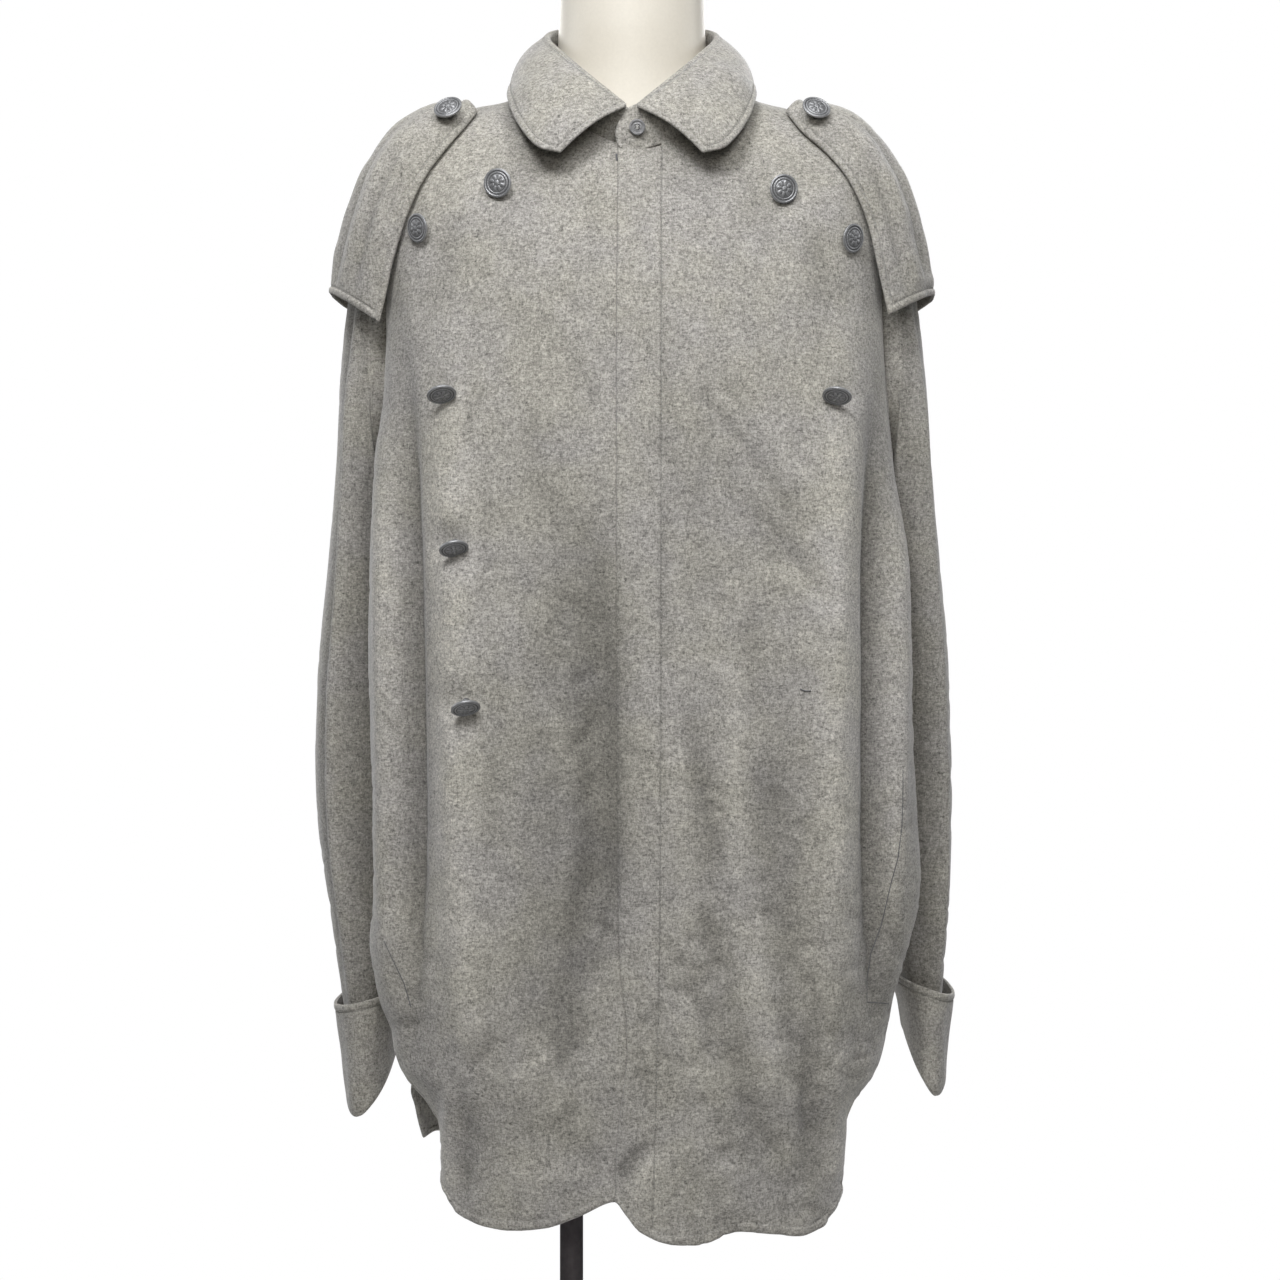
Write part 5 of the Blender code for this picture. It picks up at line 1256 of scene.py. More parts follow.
def front_relief(P, q):
    u, v = view_uv(P)
    low = smoothstep(520.0, 1040.0, v)
    left_front = smoothstep(640.0, 700.0, u)
    small = creases(u, v, softened(FRONT_CREASES[BIG_FOLDS:]))
    amp = 0.00034 + 0.00050 * low + 0.00070 * low * left_front
    small = small - amp * 1.5 * crumple(u, v, 36.0, 3, 62.0)
    small = small - amp * 1.0 * crumple(u, v, 22.0, 17, -38.0)
    small = small - amp * 0.6 * crumple(u, v, 14.0, 29, 15.0, 1.3)
    small = small + 0.0004 * noise(u / 30.0, v / 38.0, 12)
    total = creases(u, v, FRONT_CREASES[:BIG_FOLDS]) + small + 0.0011 * noise(u / 90.0, v / 150.0, 11)
    for bu, bv in BUTTON_FLATS:
        total = total * (1 - 0.95 * np.exp(-((u - bu) ** 2 + (v - bv) ** 2) / 20.0 ** 2))
    keep = 1 - smoothstep(0.94, 1.0, np.abs(q))
    # painted highlight: the tails' outer edges, which stand out from the body, are painted paler, as if catching the
    # light
    tail = smoothstep(985.0, 1090.0, v) * smoothstep(0.62, 0.90, np.abs(q))
    # the second value is painted shade in the folds and painted highlight on the crests and tails, for the cloth's
    # colour
    return total * keep, in_valley(total * keep) + 0.24 * in_valley(small * keep, 0.0022, 0.0022) - 0.9 * tail


def back_relief(P, q):
    x, z = P[..., 0] * 1000, P[..., 2] * 1000
    low = 1 - smoothstep(640.0, 1000.0, z)
    small = creases(x, z, softened(BACK_CREASES[8:]))
    amp = 0.00040 + 0.00060 * low
    small = small - amp * 1.5 * crumple(x, z, 30.0, 43, 118.0)
    small = small - amp * 0.9 * crumple(x, z, 19.0, 47, 36.0)
    small = small + 0.0004 * noise(x / 26.0, z / 32.0, 42)
    total = creases(x, z, BACK_CREASES[:8]) + small + 0.0012 * noise(x / 80.0, z / 130.0, 41)
    keep = smoothstep(1.26, 1.42, np.abs(q))
    # the second value is painted shade in the folds and painted highlight on the crests, for the cloth's colour
    return total * keep, in_valley(total * keep, 0.0095, 0.009) + 0.32 * in_valley(small * keep, 0.0022, 0.0022)


STRIP_EDGE = ((120, 619.0), (160, 619.0), (300, 617.5), (500, 617.5), (800, 618.5), (930, 619.5), (990, 623.0),
              (1021, 627.0), (1052, 628.0), (1090, 624.5), (1133, 619.5), (1200, 616.5), (1240, 616.5))
STRIP_SEAM = ((120, 664.0), (300, 663.5), (600, 663.5), (900, 662.5), (1000, 661.0), (1143, 657.0), (1240, 654.0))


def x_on_view_line(line, t):
    """World x of a line drawn in view units, at each row of the sheet."""
    p = body_base(0 * t, t)
    u, v = view_uv(p)
    at = curve([r[0] for r in line], [r[1] for r in line], v)
    return (at - VIEW_MID_U) * VIEW_UNIT * (p[:, 1] - 0.004 - EYE_Y) / -EYE_Y


def front_piece(side, name, node):
    t, from_hem = rows_down(side * 0.45)
    edge = side * panel_edge("e_f", t)
    if side > 0:
        centre = q_of_x(x_on_view_line(STRIP_SEAM, t) - 0.0016, t)
    else:
        centre = q_of_x(x_on_view_line(STRIP_EDGE, t) + 0.024, t)
    k = spaced(0.235, STEP, (0.0, 0.0008, 0.002), EDGE_FINE) / 0.235
    q = centre[:, None] + (edge - centre)[:, None] * k[None, :]
    tt = np.broadcast_to(t[:, None], q.shape)
    lift = 0.0
    if side > 0:
        x = body_base(q, tt)[..., 0]
        lift = 0.0022 * (1 - smoothstep(0.022, 0.085, x))
    base = body_point(q, tt)
    n = body_normal(q, tt)
    # the second value is painted shade and highlight for the cloth's colour
    relief, painted_shading = front_relief(base, q)
    P = base + n * (relief + lift)[..., None]
    d = np.broadcast_to(from_hem[:, None], q.shape)
    tail = np.where(tt > T_VENT + 0.25, side_distance(P, -1), 1.0)
    d = np.minimum(d, tail)
    band = hem_bulge(d)
    inside = 0.0010 * (1 - smoothstep(0.0062, 0.0078, d))
    obj, N = shell(name, P, WALL - 0.0002, n, FLANNEL, plus=band, minus=inside, painted_shading=painted_shading)
    wear(obj, node)
    return obj, P, N, d, t


def strip_piece():
    t, from_hem = rows_down(0.0, 0.16, fine_top=(0.0, 0.0008, 0.002, 0.0035))
    a = q_of_x(x_on_view_line(STRIP_EDGE, t), t)
    b = q_of_x(x_on_view_line(STRIP_SEAM, t), t)
    width = 0.0365
    k = spaced(width, 0.0026, (0.0, 0.0006, 0.0014, 0.0024, 0.0036), (0.0, 0.0005, 0.0010, 0.0015, 0.0020, 0.0027, 0.0036)) / width
    q = a[:, None] + (b - a)[:, None] * k[None, :]
    tt = np.broadcast_to(t[:, None], q.shape)
    base = body_point(q, tt)
    n = body_normal(q, tt)
    # the second value is painted shade and highlight for the cloth's colour
    relief, painted_shading = front_relief(base, q)
    P0 = base + n * relief[..., None]
    d_free = side_distance(P0, 1)
    d_seam = side_distance(P0, -1)
    lift = 0.0031 + 0.0003 * np.exp(-((d_free - 0.004) / 0.003) ** 2)
    lift = lift - 0.0009 * (1 - smoothstep(0.0, 0.0042, d_seam)) - 0.0005 * (1 - smoothstep(0.0, 0.0022, d_free))
    wave = 0.0005 * noise(view_uv(base)[1] / 34.0, 0.5 + 0 * q, 61) * (1 - smoothstep(0.0, 0.012, d_free))
    P = P0 + n * (lift + wave)[..., None]
    d = np.broadcast_to(from_hem[:, None], q.shape)
    plus = hem_bulge(d) - 0.0007 * np.exp(-((d_seam - 0.0020) / 0.0006) ** 2)
    wall = (WALL_PLACKET - 0.0004) * (0.62 + 0.38 * smoothstep(0.0, 0.0035, d_seam))
    obj, N = shell("placket_cloth", P, wall, n, FLANNEL, plus=plus, painted_shading=painted_shading)
    wear(obj, "placket")
    return obj, P, N, d_seam, d


def back_piece():
    t, from_hem = rows_down(1.75, step=0.0036)
    e = panel_edge("e_b", t)
    k = spaced(0.56, 0.0036, EDGE_FINE, EDGE_FINE) / 0.56
    q = e[:, None] + (4.0 - 2 * e)[:, None] * k[None, :]
    q = np.where(q > 2.0, q - 4.0, q)
    tt = np.broadcast_to(t[:, None], q.shape)
    base = body_point(q, tt)
    n = body_normal(q, tt)
    # the second value is painted shade and highlight for the cloth's colour
    relief, painted_shading = back_relief(base, q)
    P = base + n * relief[..., None]
    d = np.broadcast_to(from_hem[:, None], q.shape)
    tail = np.minimum(side_distance(P, -1), side_distance(P, 1))
    d = np.minimum(d, np.where(tt > T_VENT + 0.25, tail, 1.0))
    obj, N = shell("back_cloth", P, WALL - 0.0002, n, FLANNEL, plus=hem_bulge(d),
                   minus=0.0010 * (1 - smoothstep(0.0062, 0.0078, d)), painted_shading=painted_shading)
    wear(obj, "back")
    return obj, P, N, d, t


def scaled(table, sa, sb, sw=1.0):
    return [(a0 * sa, b0 * sb, a1 * sa, b1 * sb, bow * sw, w * sw, h, skew) for a0, b0, a1, b1, bow, w, h, skew in table]


SLEEVE_MM = (0.90, 55.0)       # millimetres to a degree and to a row of the sleeve


def sleeve_piece(side, name, table, node):
    count = 100
    phi = ring_angles(count)
    signed = np.where(phi > 180.0, phi - 360.0, phi)
    first = armhole(side, count)
    rows = np.concatenate(([-1.0, -0.985, -0.96, -0.92, -0.86, -0.78], np.linspace(-0.70, len(table) - 1.0, 205)))
    grid = []
    for r in rows:
        ring = rings_point(table, phi, np.full(count, max(r, 0.0)))
        ring[:, 0] *= side
        share = smoothstep(-1.0, 3.5, r)
        start = first.copy()
        start[:, 0] += side * (0.0006 + 0.0024 * smoothstep(-1.0, -0.8, r) + 0.0085 * (r + 1.0))
        start[:, 2] -= 0.0130 * (r + 1.0)
        grid.append(start * (1 - share) + ring * share)
    P = np.array(grid)
    centre = P.mean(axis=1, keepdims=True)
    n = grid_normals(P, P - centre, True)
    rr = np.broadcast_to(rows[:, None], P.shape[:2])
    total = np.zeros(P.shape[:2])
    a, b = SLEEVE_MM
    flip = 1.0 if side < 0 else -1.0
    for turn in (-360.0, 0.0, 360.0):
        ang = (signed + turn)[None, :] + 0 * rr
        shift = 0.0 if side < 0 else 9.0
        total = total + creases((ang + shift) * a, rr * b, scaled(SLEEVE_CREASES, a, b))
        total = total + creases((ang * 1.0 - shift) * a, (rr + (0.0 if side < 0 else 0.35)) * b,
                                scaled(SLEEVE_CREASES_SHORT, a, b))
    arc = signed[None, :] * a + 0 * rr
    wrap = np.cos(np.radians(signed))[None, :] * 50 + 0 * rr
    total = total + 0.0007 * noise(wrap / 40.0 + 3 * side, rr * b / 90.0, 71)
    # small wrinkles gathered low down on the forearm
    fore = smoothstep(5.0, 11.0, rr)
    edge_fade = 1 - smoothstep(168.0, 180.0, np.abs(signed))[None, :]
    total = total - (0.0006 + 0.0009 * fore) * crumple(arc, rr * b, 26.0, 73 + int(side), 20.0, 1.9) * edge_fade
    # puckers where the crown is set in
    pucker = 0.0009 * np.sin(np.arange(count) * 2 * math.pi / 7.1 + 1.3 * np.sin(np.arange(count) * 0.21))
    total = total + pucker[None, :] * (smoothstep(-1.0, -0.6, rr) * (1 - smoothstep(-0.2, 1.6, rr)))
    ends = smoothstep(-0.9, 0.8, rr) * (1 - 0.75 * smoothstep(12.0, 13.0, rr))
    inner = 0.45 + 0.55 * smoothstep(-0.35, 0.45, np.cos(np.radians(signed)))[None, :]
    P = P + n * (total * ends * inner)[..., None]
    # painted shade: the front of the arm is painted darker, as if in the shade of the body and the capelet
    shade = 0.60 * smoothstep(0.4, 2.4, rr) * np.clip(-n[..., 1], 0.0, 1.0) ** 0.7
    obj, N = shell(name, P, WALL - 0.0002, P - centre, FLANNEL, around=True,
                   painted_shading=in_valley(total * ends * inner, 0.0065, 0.007) + shade)
    wear(obj, node)
    return obj, P, N, rows


def cuff_piece(side, name, table, node):
    count = 100
    phi = ring_angles(count)
    rows = np.concatenate((np.linspace(0.0, 1.0, 5), np.linspace(1.08, 3.0, 26), np.linspace(3.03, 4.75, 26),
                           np.linspace(4.77, 5.0, 12)))
    grid = []
    for r in rows:
        ring = rings_point(table, phi, np.full(count, float(r)))
        ring[:, 0] *= side
        grid.append(ring)
    P = np.array(grid)
    centre = P.mean(axis=1, keepdims=True)
    n = grid_normals(P, P - centre, True)
    rr = np.broadcast_to(rows[:, None], P.shape[:2])
    signed = np.where(phi > 180.0, phi - 360.0, phi)
    outer = smoothstep(2.4, 3.2, rr)
    total = 0.0011 * np.sin(np.radians(phi * 2 + 40))[None, :] * outer
    total = total + creases(signed[None, :] * 0.9 + 0 * rr, rr * 24.0, (
        (-60, 76, -50, 124, 3, 9, -1.5, 0.2), (30, 74, 44, 124, -3, 10, -1.3, 0.2), (84, 78, 78, 122, 2, 9, 1.3, 0.0),
        (-20, 80, 14, 118, 4, 8, 1.2, 0.0), (120, 76, 110, 122, 2, 9, -1.2, 0.0))) * outer
    total = total + 0.0005 * noise(np.cos(np.radians(signed))[None, :] * 3 + side, rr * 1.6, 77) * outer
    P = P + n * total[..., None]
    d_rim = lengths(P)[-1][None, :] - lengths(P)
    plus = bagged_edge(d_rim, 0.0058, 0.0007)
    # the fold's own crease
    d_fold = np.abs(rr - 1.9) * 0.012
    plus = plus - 0.0003 * np.exp(-(d_fold / 0.002) ** 2)
    obj, N = shell(name, P, WALL, P - centre, FLANNEL, around=True, plus=plus)
    wear(obj, node)
    return obj, P, N, d_rim


CAPE_MM = (128.0, 22.0)


def cape_piece(side, name, table, node):
    r = spaced(0.200, 0.0027, EDGE_FINE, EDGE_FINE) / 0.200 * (len(table) - 1.0)
    a = -1.0 + 2.0 * spaced(0.285, 0.0028, EDGE_FINE, EDGE_FINE) / 0.285
    aa, rr = np.meshgrid(a, r)
    P = cape_point(side, table, aa, rr)
    up = P - P.mean(axis=(0, 1), keepdims=True) + np.array((0.0, 0.0, 0.02))
    n = grid_normals(P, up)
    bend = aa if side < 0 else aa * 0.94 + 0.05
    total = creases(bend * CAPE_MM[0], rr * CAPE_MM[1], scaled(CAPE_CREASES, *CAPE_MM, CAPE_MM[0]))
    total = total + creases(aa * CAPE_MM[0], (rr + 0.3 * side) * CAPE_MM[1],
                            scaled(CAPE_CREASES_SHORT, *CAPE_MM, CAPE_MM[1]))
    total = total + 0.0005 * noise(aa * 4 + 7 * side, rr * 1.1, 81) - 0.0004 * crumple(aa * 128, rr * 22, 24.0, 83, 70.0)
    keep = smoothstep(-1.0, -0.93, aa) * (1 - smoothstep(0.93, 1.0, aa))
    relief = 1.25 * total * keep * smoothstep(0.2, 2.2, rr)
    P = P + n * relief[..., None]
    run_c = side_distance(P, 1)
    run_r = lengths(P)
    d = np.minimum(np.minimum(run_c, side_distance(P, -1)), np.minimum(run_r, run_r[-1][None, :] - run_r))
    plus = bagged_edge(d)
    # painted shade in the capelet's folds and painted highlight on its crests, kept for the cloth's colour
    # the edge lips down a little, so that it casts a line of shadow
    obj, N = shell(name, P, WALL_FLAP, n, FLANNEL, plus=plus, minus=0.0003 * np.exp(-((d - 0.003) / 0.003) ** 2),
                   painted_shading=in_valley(relief, 0.0045, 0.006))
    wear(obj, node)
    return obj, P, N, d, aa, rr


COLLAR_MM = (25.0, 50.0)


def collar_piece():
    u = -8.0 + 16.0 * spaced(0.40, 0.0028, EDGE_FINE, EDGE_FINE) / 0.40
    v = spaced(0.050, 0.0021, (), (0.0, 0.0007, 0.0015, 0.0025, 0.0034, 0.0041, 0.0047, 0.0053, 0.0061)) / 0.050
    uu, vv = np.meshgrid(u, v)
    P = collar_point(uu, vv)
    au = 8.0 - np.abs(uu)
    s = np.where(uu < 0, -1.0, 1.0)
    xr = column(COLLAR, COLLAR_COLS, "xr", au)
    yr = column(COLLAR, COLLAR_COLS, "yr", au)
    away = unit(np.stack((s * (xr + 0.002), yr, 0 * xr), -1))
    n = grid_normals(P, away + np.array((0.0, 0.0, 0.3)))
    total = creases(uu * COLLAR_MM[0], vv * COLLAR_MM[1], [(a0 * 25, b0 * 50, a1 * 25, b1 * 50, bow * 25, w * 50, h, k) for a0, b0, a1, b1, bow, w, h, k in COLLAR_CREASES])
    total = total + 0.0004 * noise(uu * 0.9, vv * 2.0, 91)
    P = P + n * (total * smoothstep(0.0, 0.25, vv))[..., None]
    # the leaf turns over the top and goes down inside
    roll = P[0]
    inward = -away[0]
    turned_in = []
    r = 0.0021
    down = (0.0090, 0.0062, 0.0036, 0.0014)
    for k in down:
        turned_in.append(roll + inward * (2 * r) - np.array((0, 0, k)))
    for ang in np.radians((180, 152, 126, 100, 76, 52, 30, 12)):
        turned_in.append(roll + inward * (r - r * math.cos(ang)) + np.array((0, 0, r * math.sin(ang))))
    Q = np.concatenate((np.array(turned_in), P))
    k0 = len(turned_in)
    run_r = lengths(Q)
    d = np.minimum(np.minimum(side_distance(Q, 1), side_distance(Q, -1)), run_r[-1][None, :] - run_r)
    over = np.broadcast_to((np.arange(Q.shape[0]) >= k0)[:, None], d.shape)
    ref = np.concatenate((np.array([inward * 1.0 if i < len(down) + 2 else away[0] + np.array((0, 0, 1.0)) for i in range(k0)]), n))
    plus = np.where(over, bagged_edge(d, 0.0050, 0.0005), 0.0)
    wall = np.where(over, WALL_COLLAR - 0.0004, 0.0018)
    obj, N = shell("collar_cloth", Q, wall, ref, FLANNEL, plus=plus)
    wear(obj, "collar")
    return obj, Q, N, d, k0


STAND_DROP, STAND_IN = 0.0034, 0.0030


def stand_piece():
    u = -8.0 + 16.0 * spaced(0.42, 0.0026, EDGE_FINE[:8], EDGE_FINE[:8]) / 0.42
    v = spaced(0.032, 0.0022, (0.0, 0.0008, 0.0018), (0.0, 0.0008, 0.0018)) / 0.032
    au = 8.0 - np.abs(u)
    s = np.where(u < 0, -1.0, 1.0)
    c = {k: column(COLLAR, COLLAR_COLS, k, au) for k in COLLAR_COLS}
    away = unit(np.stack((s * c["xr"], c["yr"], 0 * c["xr"]), -1))
    top = np.stack((s * c["xr"] + NECK_SHIFT_X, c["yr"], c["zr"] - STAND_DROP), -1) - away * STAND_IN
    q = np.clip(s * 2.0 * (au / 8.0) ** 0.92, -1.9999, 1.9999)
    low = body_base(q, np.zeros_like(q))
    low[:, 2] -= 0.0060
    ends = 1 - smoothstep(0.0, 1.6, au)
    past = np.where(s > 0, 0.0172, 0.013)
    top[:, 0] += -s * ends * past
    low[:, 0] += -s * ends * past
    deep = 1 - smoothstep(1.0, 3.2, au)
    tip = 1 - smoothstep(0.0, 1.3, au)
    top[:, 1] += np.where(s > 0, 0.0005, 0.0066) * deep + np.where(s > 0, 0.0, 0.0030) * tip
    low[:, 1] += np.where(s > 0, -0.0046, 0.0022) * deep + np.where(s > 0, 0.0, 0.0015) * tip
    top[:, 2] -= 0.0030 * ends
    vv = v[:, None, None]
    belly = np.sin(np.pi * v)[:, None, None] * 0.0015
    P = low[None] * (1 - vv) + top[None] * vv + away[None] * belly
    # the over end is rounded off
    run = side_distance(P, -1)
    round_r = 0.013
    squeeze = np.sqrt(np.clip(1 - (1 - np.clip(run / round_r, 0, 1)) ** 2, 0.0, 1.0)) * 0.93 + 0.07
    middle = (P[:1] + P[-1:]) / 2
    keep = np.where((u > 0)[None, :], squeeze, 1.0)[..., None]
    P = middle + (P - middle) * keep
    run_r = lengths(P)
    d = np.minimum(run, run_r)
    n = grid_normals(P, away[None] + 0 * P)
    plus = bagged_edge(d, 0.0040, 0.0003) * np.where(u > 5.0, 1.0, 0.0)[None, :]
    obj, N = shell("stand_cloth", P, WALL_COLLAR - 0.0008, away[None] + 0 * P, FLANNEL, plus=plus)
    wear(obj, "collar_stand")
    return obj, P, N, d, u




# ----------------------------------------------------------------------------- place on an axis
def stand_on(point, axis, spin=0.0):
    """Matrix that stands +Z along axis, its origin at point."""
    z = Vector(axis).normalized()
    up = Vector((0, 0, 1)) if abs(z.z) < 0.95 else Vector((0, 1, 0))
    x = up.cross(z).normalized()
    y = z.cross(x)
    m = Matrix(((x.x, y.x, z.x, 0), (x.y, y.y, z.y, 0), (x.z, y.z, z.z, 0), (0, 0, 0, 1)))
    return Matrix.Translation(Vector([float(c) for c in point])) @ m @ Matrix.Rotation(spin, 4, "Z")


def height_disc(radii, heights, around=84):
    """Vertices and faces of a closed turned disc whose top height may change round it."""
    rings, verts, faces = [], [], []
    a = np.arange(around) * 2 * math.pi / around
    for r, h in zip(radii, heights):
        base = len(verts)
        hh = h(a) if callable(h) else np.full(around, h)
        verts.extend((float(r * math.cos(t)), float(r * math.sin(t)), float(z)) for t, z in zip(a, hh))
        rings.append(range(base, base + around))
    top = len(verts)
    verts.append((0.0, 0.0, float(np.mean([v[2] for v in verts[:around]]))))
    for j in range(around):
        faces.append((top, rings[0][j], rings[0][(j + 1) % around]))
    for ra, rb in zip(rings[:-1], rings[1:]):
        for j in range(around):
            k = (j + 1) % around
            faces.append((ra[j], rb[j], rb[k], ra[k]))
    low = len(verts)
    verts.append((0.0, 0.0, float(np.mean([verts[i][2] for i in rings[-1]]))))
    for j in range(around):
        faces.append((low, rings[-1][(j + 1) % around], rings[-1][j]))
    return verts, faces


def ornament(r):
    """Height of the cast ornament: rope rim, beaded ring, eight-petal rosette with a boss."""
    def h(a):
        x = r / BUTTON_R
        dome = 0.0011 * (1 - x * x)
        z = np.full(a.shape, dome)
        if x > 0.83:
            z = z + 0.00050 * math.exp(-((x - 0.915) / 0.06) ** 2) * (1.0 + 0.38 * np.sin(a * 30 + x * 26))
        z = z - 0.00034 * math.exp(-((x - 0.80) / 0.035) ** 2)
        z = z + 0.00026 * math.exp(-((x - 0.715) / 0.035) ** 2) * (1.0 + 0.5 * np.cos(a * 24))
        z = z - 0.00030 * math.exp(-((x - 0.62) / 0.035) ** 2)
        petal = np.abs(np.cos(a * 4)) ** 0.8
        reach = 0.24 + 0.32 * petal
        z = z + 0.00062 / (1 + np.exp((x - reach) / 0.028)) * (0.75 + 0.25 * petal)
        z = z - 0.00030 * math.exp(-((x - 0.20) / 0.035) ** 2)
        z = z + 0.00045 * math.exp(-(x / 0.12) ** 2)
        return z
    return h


def metal_button(name, matrix):
    top = SHANK_H + BUTTON_H - 0.0017
    radii = list(np.linspace(0.05, 0.985, 30) * BUTTON_R)
    rings = [(r, (lambda a, f=ornament(r): top + f(a))) for r in radii]
    rings += [(BUTTON_R, top + 0.00010), (BUTTON_R * 1.004, top - 0.0004), (BUTTON_R * 0.99, SHANK_H + 0.0011),
              (BUTTON_R * 0.93, SHANK_H + 0.0004), (BUTTON_R - 0.0020, SHANK_H), (SHANK_R, SHANK_H - 0.0001),
              (SHANK_R * 0.8, SHANK_H - 0.0006), (SHANK_R * 0.8, 0.0014), (SHANK_R * 0.86, 0.0006), (SHANK_R * 0.92, 0.0)]
    verts, faces = height_disc([r for r, _ in rings], [h for _, h in rings])
    obj = link(name + "_cast", verts, faces)
    obj.data.materials.append(ANTIQUE)
    obj.matrix_world = matrix
    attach(obj, "root")
    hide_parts(name)
    return obj


def four_hole_button(name, matrix):
    """Small sew-through button: dished face, rolled rim, four holes, crossed thread."""
    R, H = COLLAR_BUTTON_R, COLLAR_BUTTON_H

    def face(r):
        def h(a):
            x, y = r * np.cos(a), r * np.sin(a)
            z = np.full(a.shape, H - 0.0006)
            z = z + 0.0006 * math.exp(-((r / R - 0.84) / 0.13) ** 2)
            z = z - 0.00028 * math.exp(-((r / R - 0.60) / 0.10) ** 2)
            for sx, sy in ((1, 1), (1, -1), (-1, 1), (-1, -1)):
                d = np.hypot(x - sx * 0.00125, y - sy * 0.00125)
                z = z - 0.0013 / (1 + np.exp((d - 0.00072) / 0.00009))
            return z
        return h
    radii = list(np.linspace(0.02, 0.97, 44) * R)
    rings = [(r, face(r)) for r in radii] + [(R, H - 0.0007), (R * 1.0, 0.0007), (R * 0.92, 0.0), (R * 0.6, 0.0)]
    verts, faces = height_disc([r for r, _ in rings], [h for _, h in rings], 96)
    obj = link(name + "_pressed", verts, faces)
    obj.data.materials.append(PLASTIC)
    obj.matrix_world = matrix
    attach(obj, "root")
    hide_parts(name)
    return obj


def tube(name, points, radius, mat, sides=8, closed=False):
    """A round thread through the points."""
    P = np.asarray(points, float)
    t = np.gradient(P, axis=0)
    t = unit(t)
    ref = np.array((0.31, 0.42, 0.85))
    a = unit(np.cross(t, ref))
    b = np.cross(t, a)
    rad = np.broadcast_to(np.asarray(radius, float), (len(P),))
    ang = np.arange(sides) * 2 * math.pi / sides
    ring = P[:, None] + (a[:, None] * np.cos(ang)[None, :, None] + b[:, None] * np.sin(ang)[None, :, None]) * rad[:, None, None]
    verts = [tuple(v) for v in ring.reshape(-1, 3)]
    faces = []
    for i in range(len(P) - 1):
        for j in range(sides):
            k = (j + 1) % sides
            faces.append((i * sides + j, i * sides + k, (i + 1) * sides + k, (i + 1) * sides + j))
    faces.append(tuple(range(sides)))
    faces.append(tuple((len(P) - 1) * sides + j for j in range(sides)))
    obj = link(name, verts, faces)
    obj.data.materials.append(mat)
    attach(obj, "root")
    return obj


def shank_thread(name, point, axis, seed):
    """Wound thread neck between the cloth and a metal button."""
    m = stand_on(point, axis)
    pts = []
    for k in range(64):
        a = k / 63.0 * 2 * math.pi * 4.2 + seed
        z = 0.0005 + 0.0030 * (0.5 - 0.5 * math.cos(k / 63.0 * math.pi * 2))
        pts.append(m @ Vector((0.0030 * math.cos(a), 0.0030 * math.sin(a), z)))
    return tube(name, pts, 0.00040, DARK_THREAD_AND_PAINTED_SHADOW, 6)


# ----------------------------------------------------------------------------- dress form and stand
def form_cover(name="form_cover_smooth"):
    rows, count = 170, 144
    r = np.linspace(0.0, len(FORM) - 1.0, rows)
    c = {k: column(FORM, FORM_COLS, k, r)[:, None] for k in FORM_COLS}
    a = (np.arange(count) * 2 * math.pi / count)[None, :]
    s, k = np.sin(a), np.cos(a)
    n = 2.0 + 0.35 * (1 - smoothstep(1.40, 1.45, c["z"]))
    x = c["w"] * np.sign(s) * np.abs(s) ** (2 / n) + NECK_SHIFT_X * smoothstep(1.0, 1.4, c["z"])
    y = np.where(k > 0, c["y_f"], c["y_b"]) * np.abs(k) ** (2 / n)
    z = c["z"] + np.where(k > 0, c["dz_f"], c["dz_b"]) * k * k
    P = np.stack((x, y, z + 0 * x), -1)
    rings = [P[i] for i in range(rows)]
    top = rings[-1]
    mid = np.array((NECK_SHIFT_X, 0.0, 0.0))
    for inset, rise in ((0.992, 0.0016), (0.970, 0.0030), (0.935, 0.0038), (0.88, 0.0040), (0.6, 0.0040), (0.3, 0.0040)):
        ring = top.copy()
        ring[:, :2] = (ring[:, :2] - mid[:2]) * inset + mid[:2]
        ring[:, 2] = top[:, 2] * 0 + FORM[-1][0] + rise
        rings.append(ring)
    low = []
    base = rings[0]
    for inset, fall in ((0.995, 0.0), (0.97, 0.0), (0.6, 0.0), (0.2, 0.0)):
        ring = base.copy()
        ring[:, :2] = ring[:, :2] * inset
        low.append(ring)
    rings = low[::-1] + rings
    P = np.array(rings)
    R, C = P.shape[:2]
    idx = np.arange(R * C).reshape(R, C)
    nxt = np.roll(idx, -1, axis=1)
    faces = np.stack((idx[:-1], nxt[:-1], nxt[1:], idx[1:]), -1).reshape(-1, 4).tolist()
    verts = P.reshape(-1, 3).tolist()
    for ring in (0, R - 1):
        verts.append(P[ring].mean(axis=0).tolist())
        for j in range(C):
            faces.append((len(verts) - 1, int(idx[ring, j]), int(nxt[ring, j])))
    obj = link(name, verts, faces)
    obj.data.materials.append(CREAM)
    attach(obj, "root")
    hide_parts("form_torso")
    return obj


# ----------------------------------------------------------------------------- build it
left, left_P, left_N, left_d, left_t = front_piece(1, "front_left_cloth", "front_left")
right, right_P, right_N, right_d, right_t = front_piece(-1, "front_right_cloth", "front_right")
strip, strip_P, strip_N, strip_ds, strip_d = strip_piece()
back, back_P, back_N, back_d, back_t = back_piece()
sleeve_r, sr_P, sr_N, sr_rows = sleeve_piece(-1, "sleeve_right_cloth", SLEEVE_R, "sleeve_right")
sleeve_l, sl_P, sl_N, sl_rows = sleeve_piece(1, "sleeve_left_cloth", SLEEVE_L, "sleeve_left")
cuff_r, cr_P, cr_N, cr_d = cuff_piece(-1, "cuff_right_cloth", CUFF_R, "cuff_right")
cuff_l, cl_P, cl_N, cl_d = cuff_piece(1, "cuff_left_cloth", CUFF_L, "cuff_left")
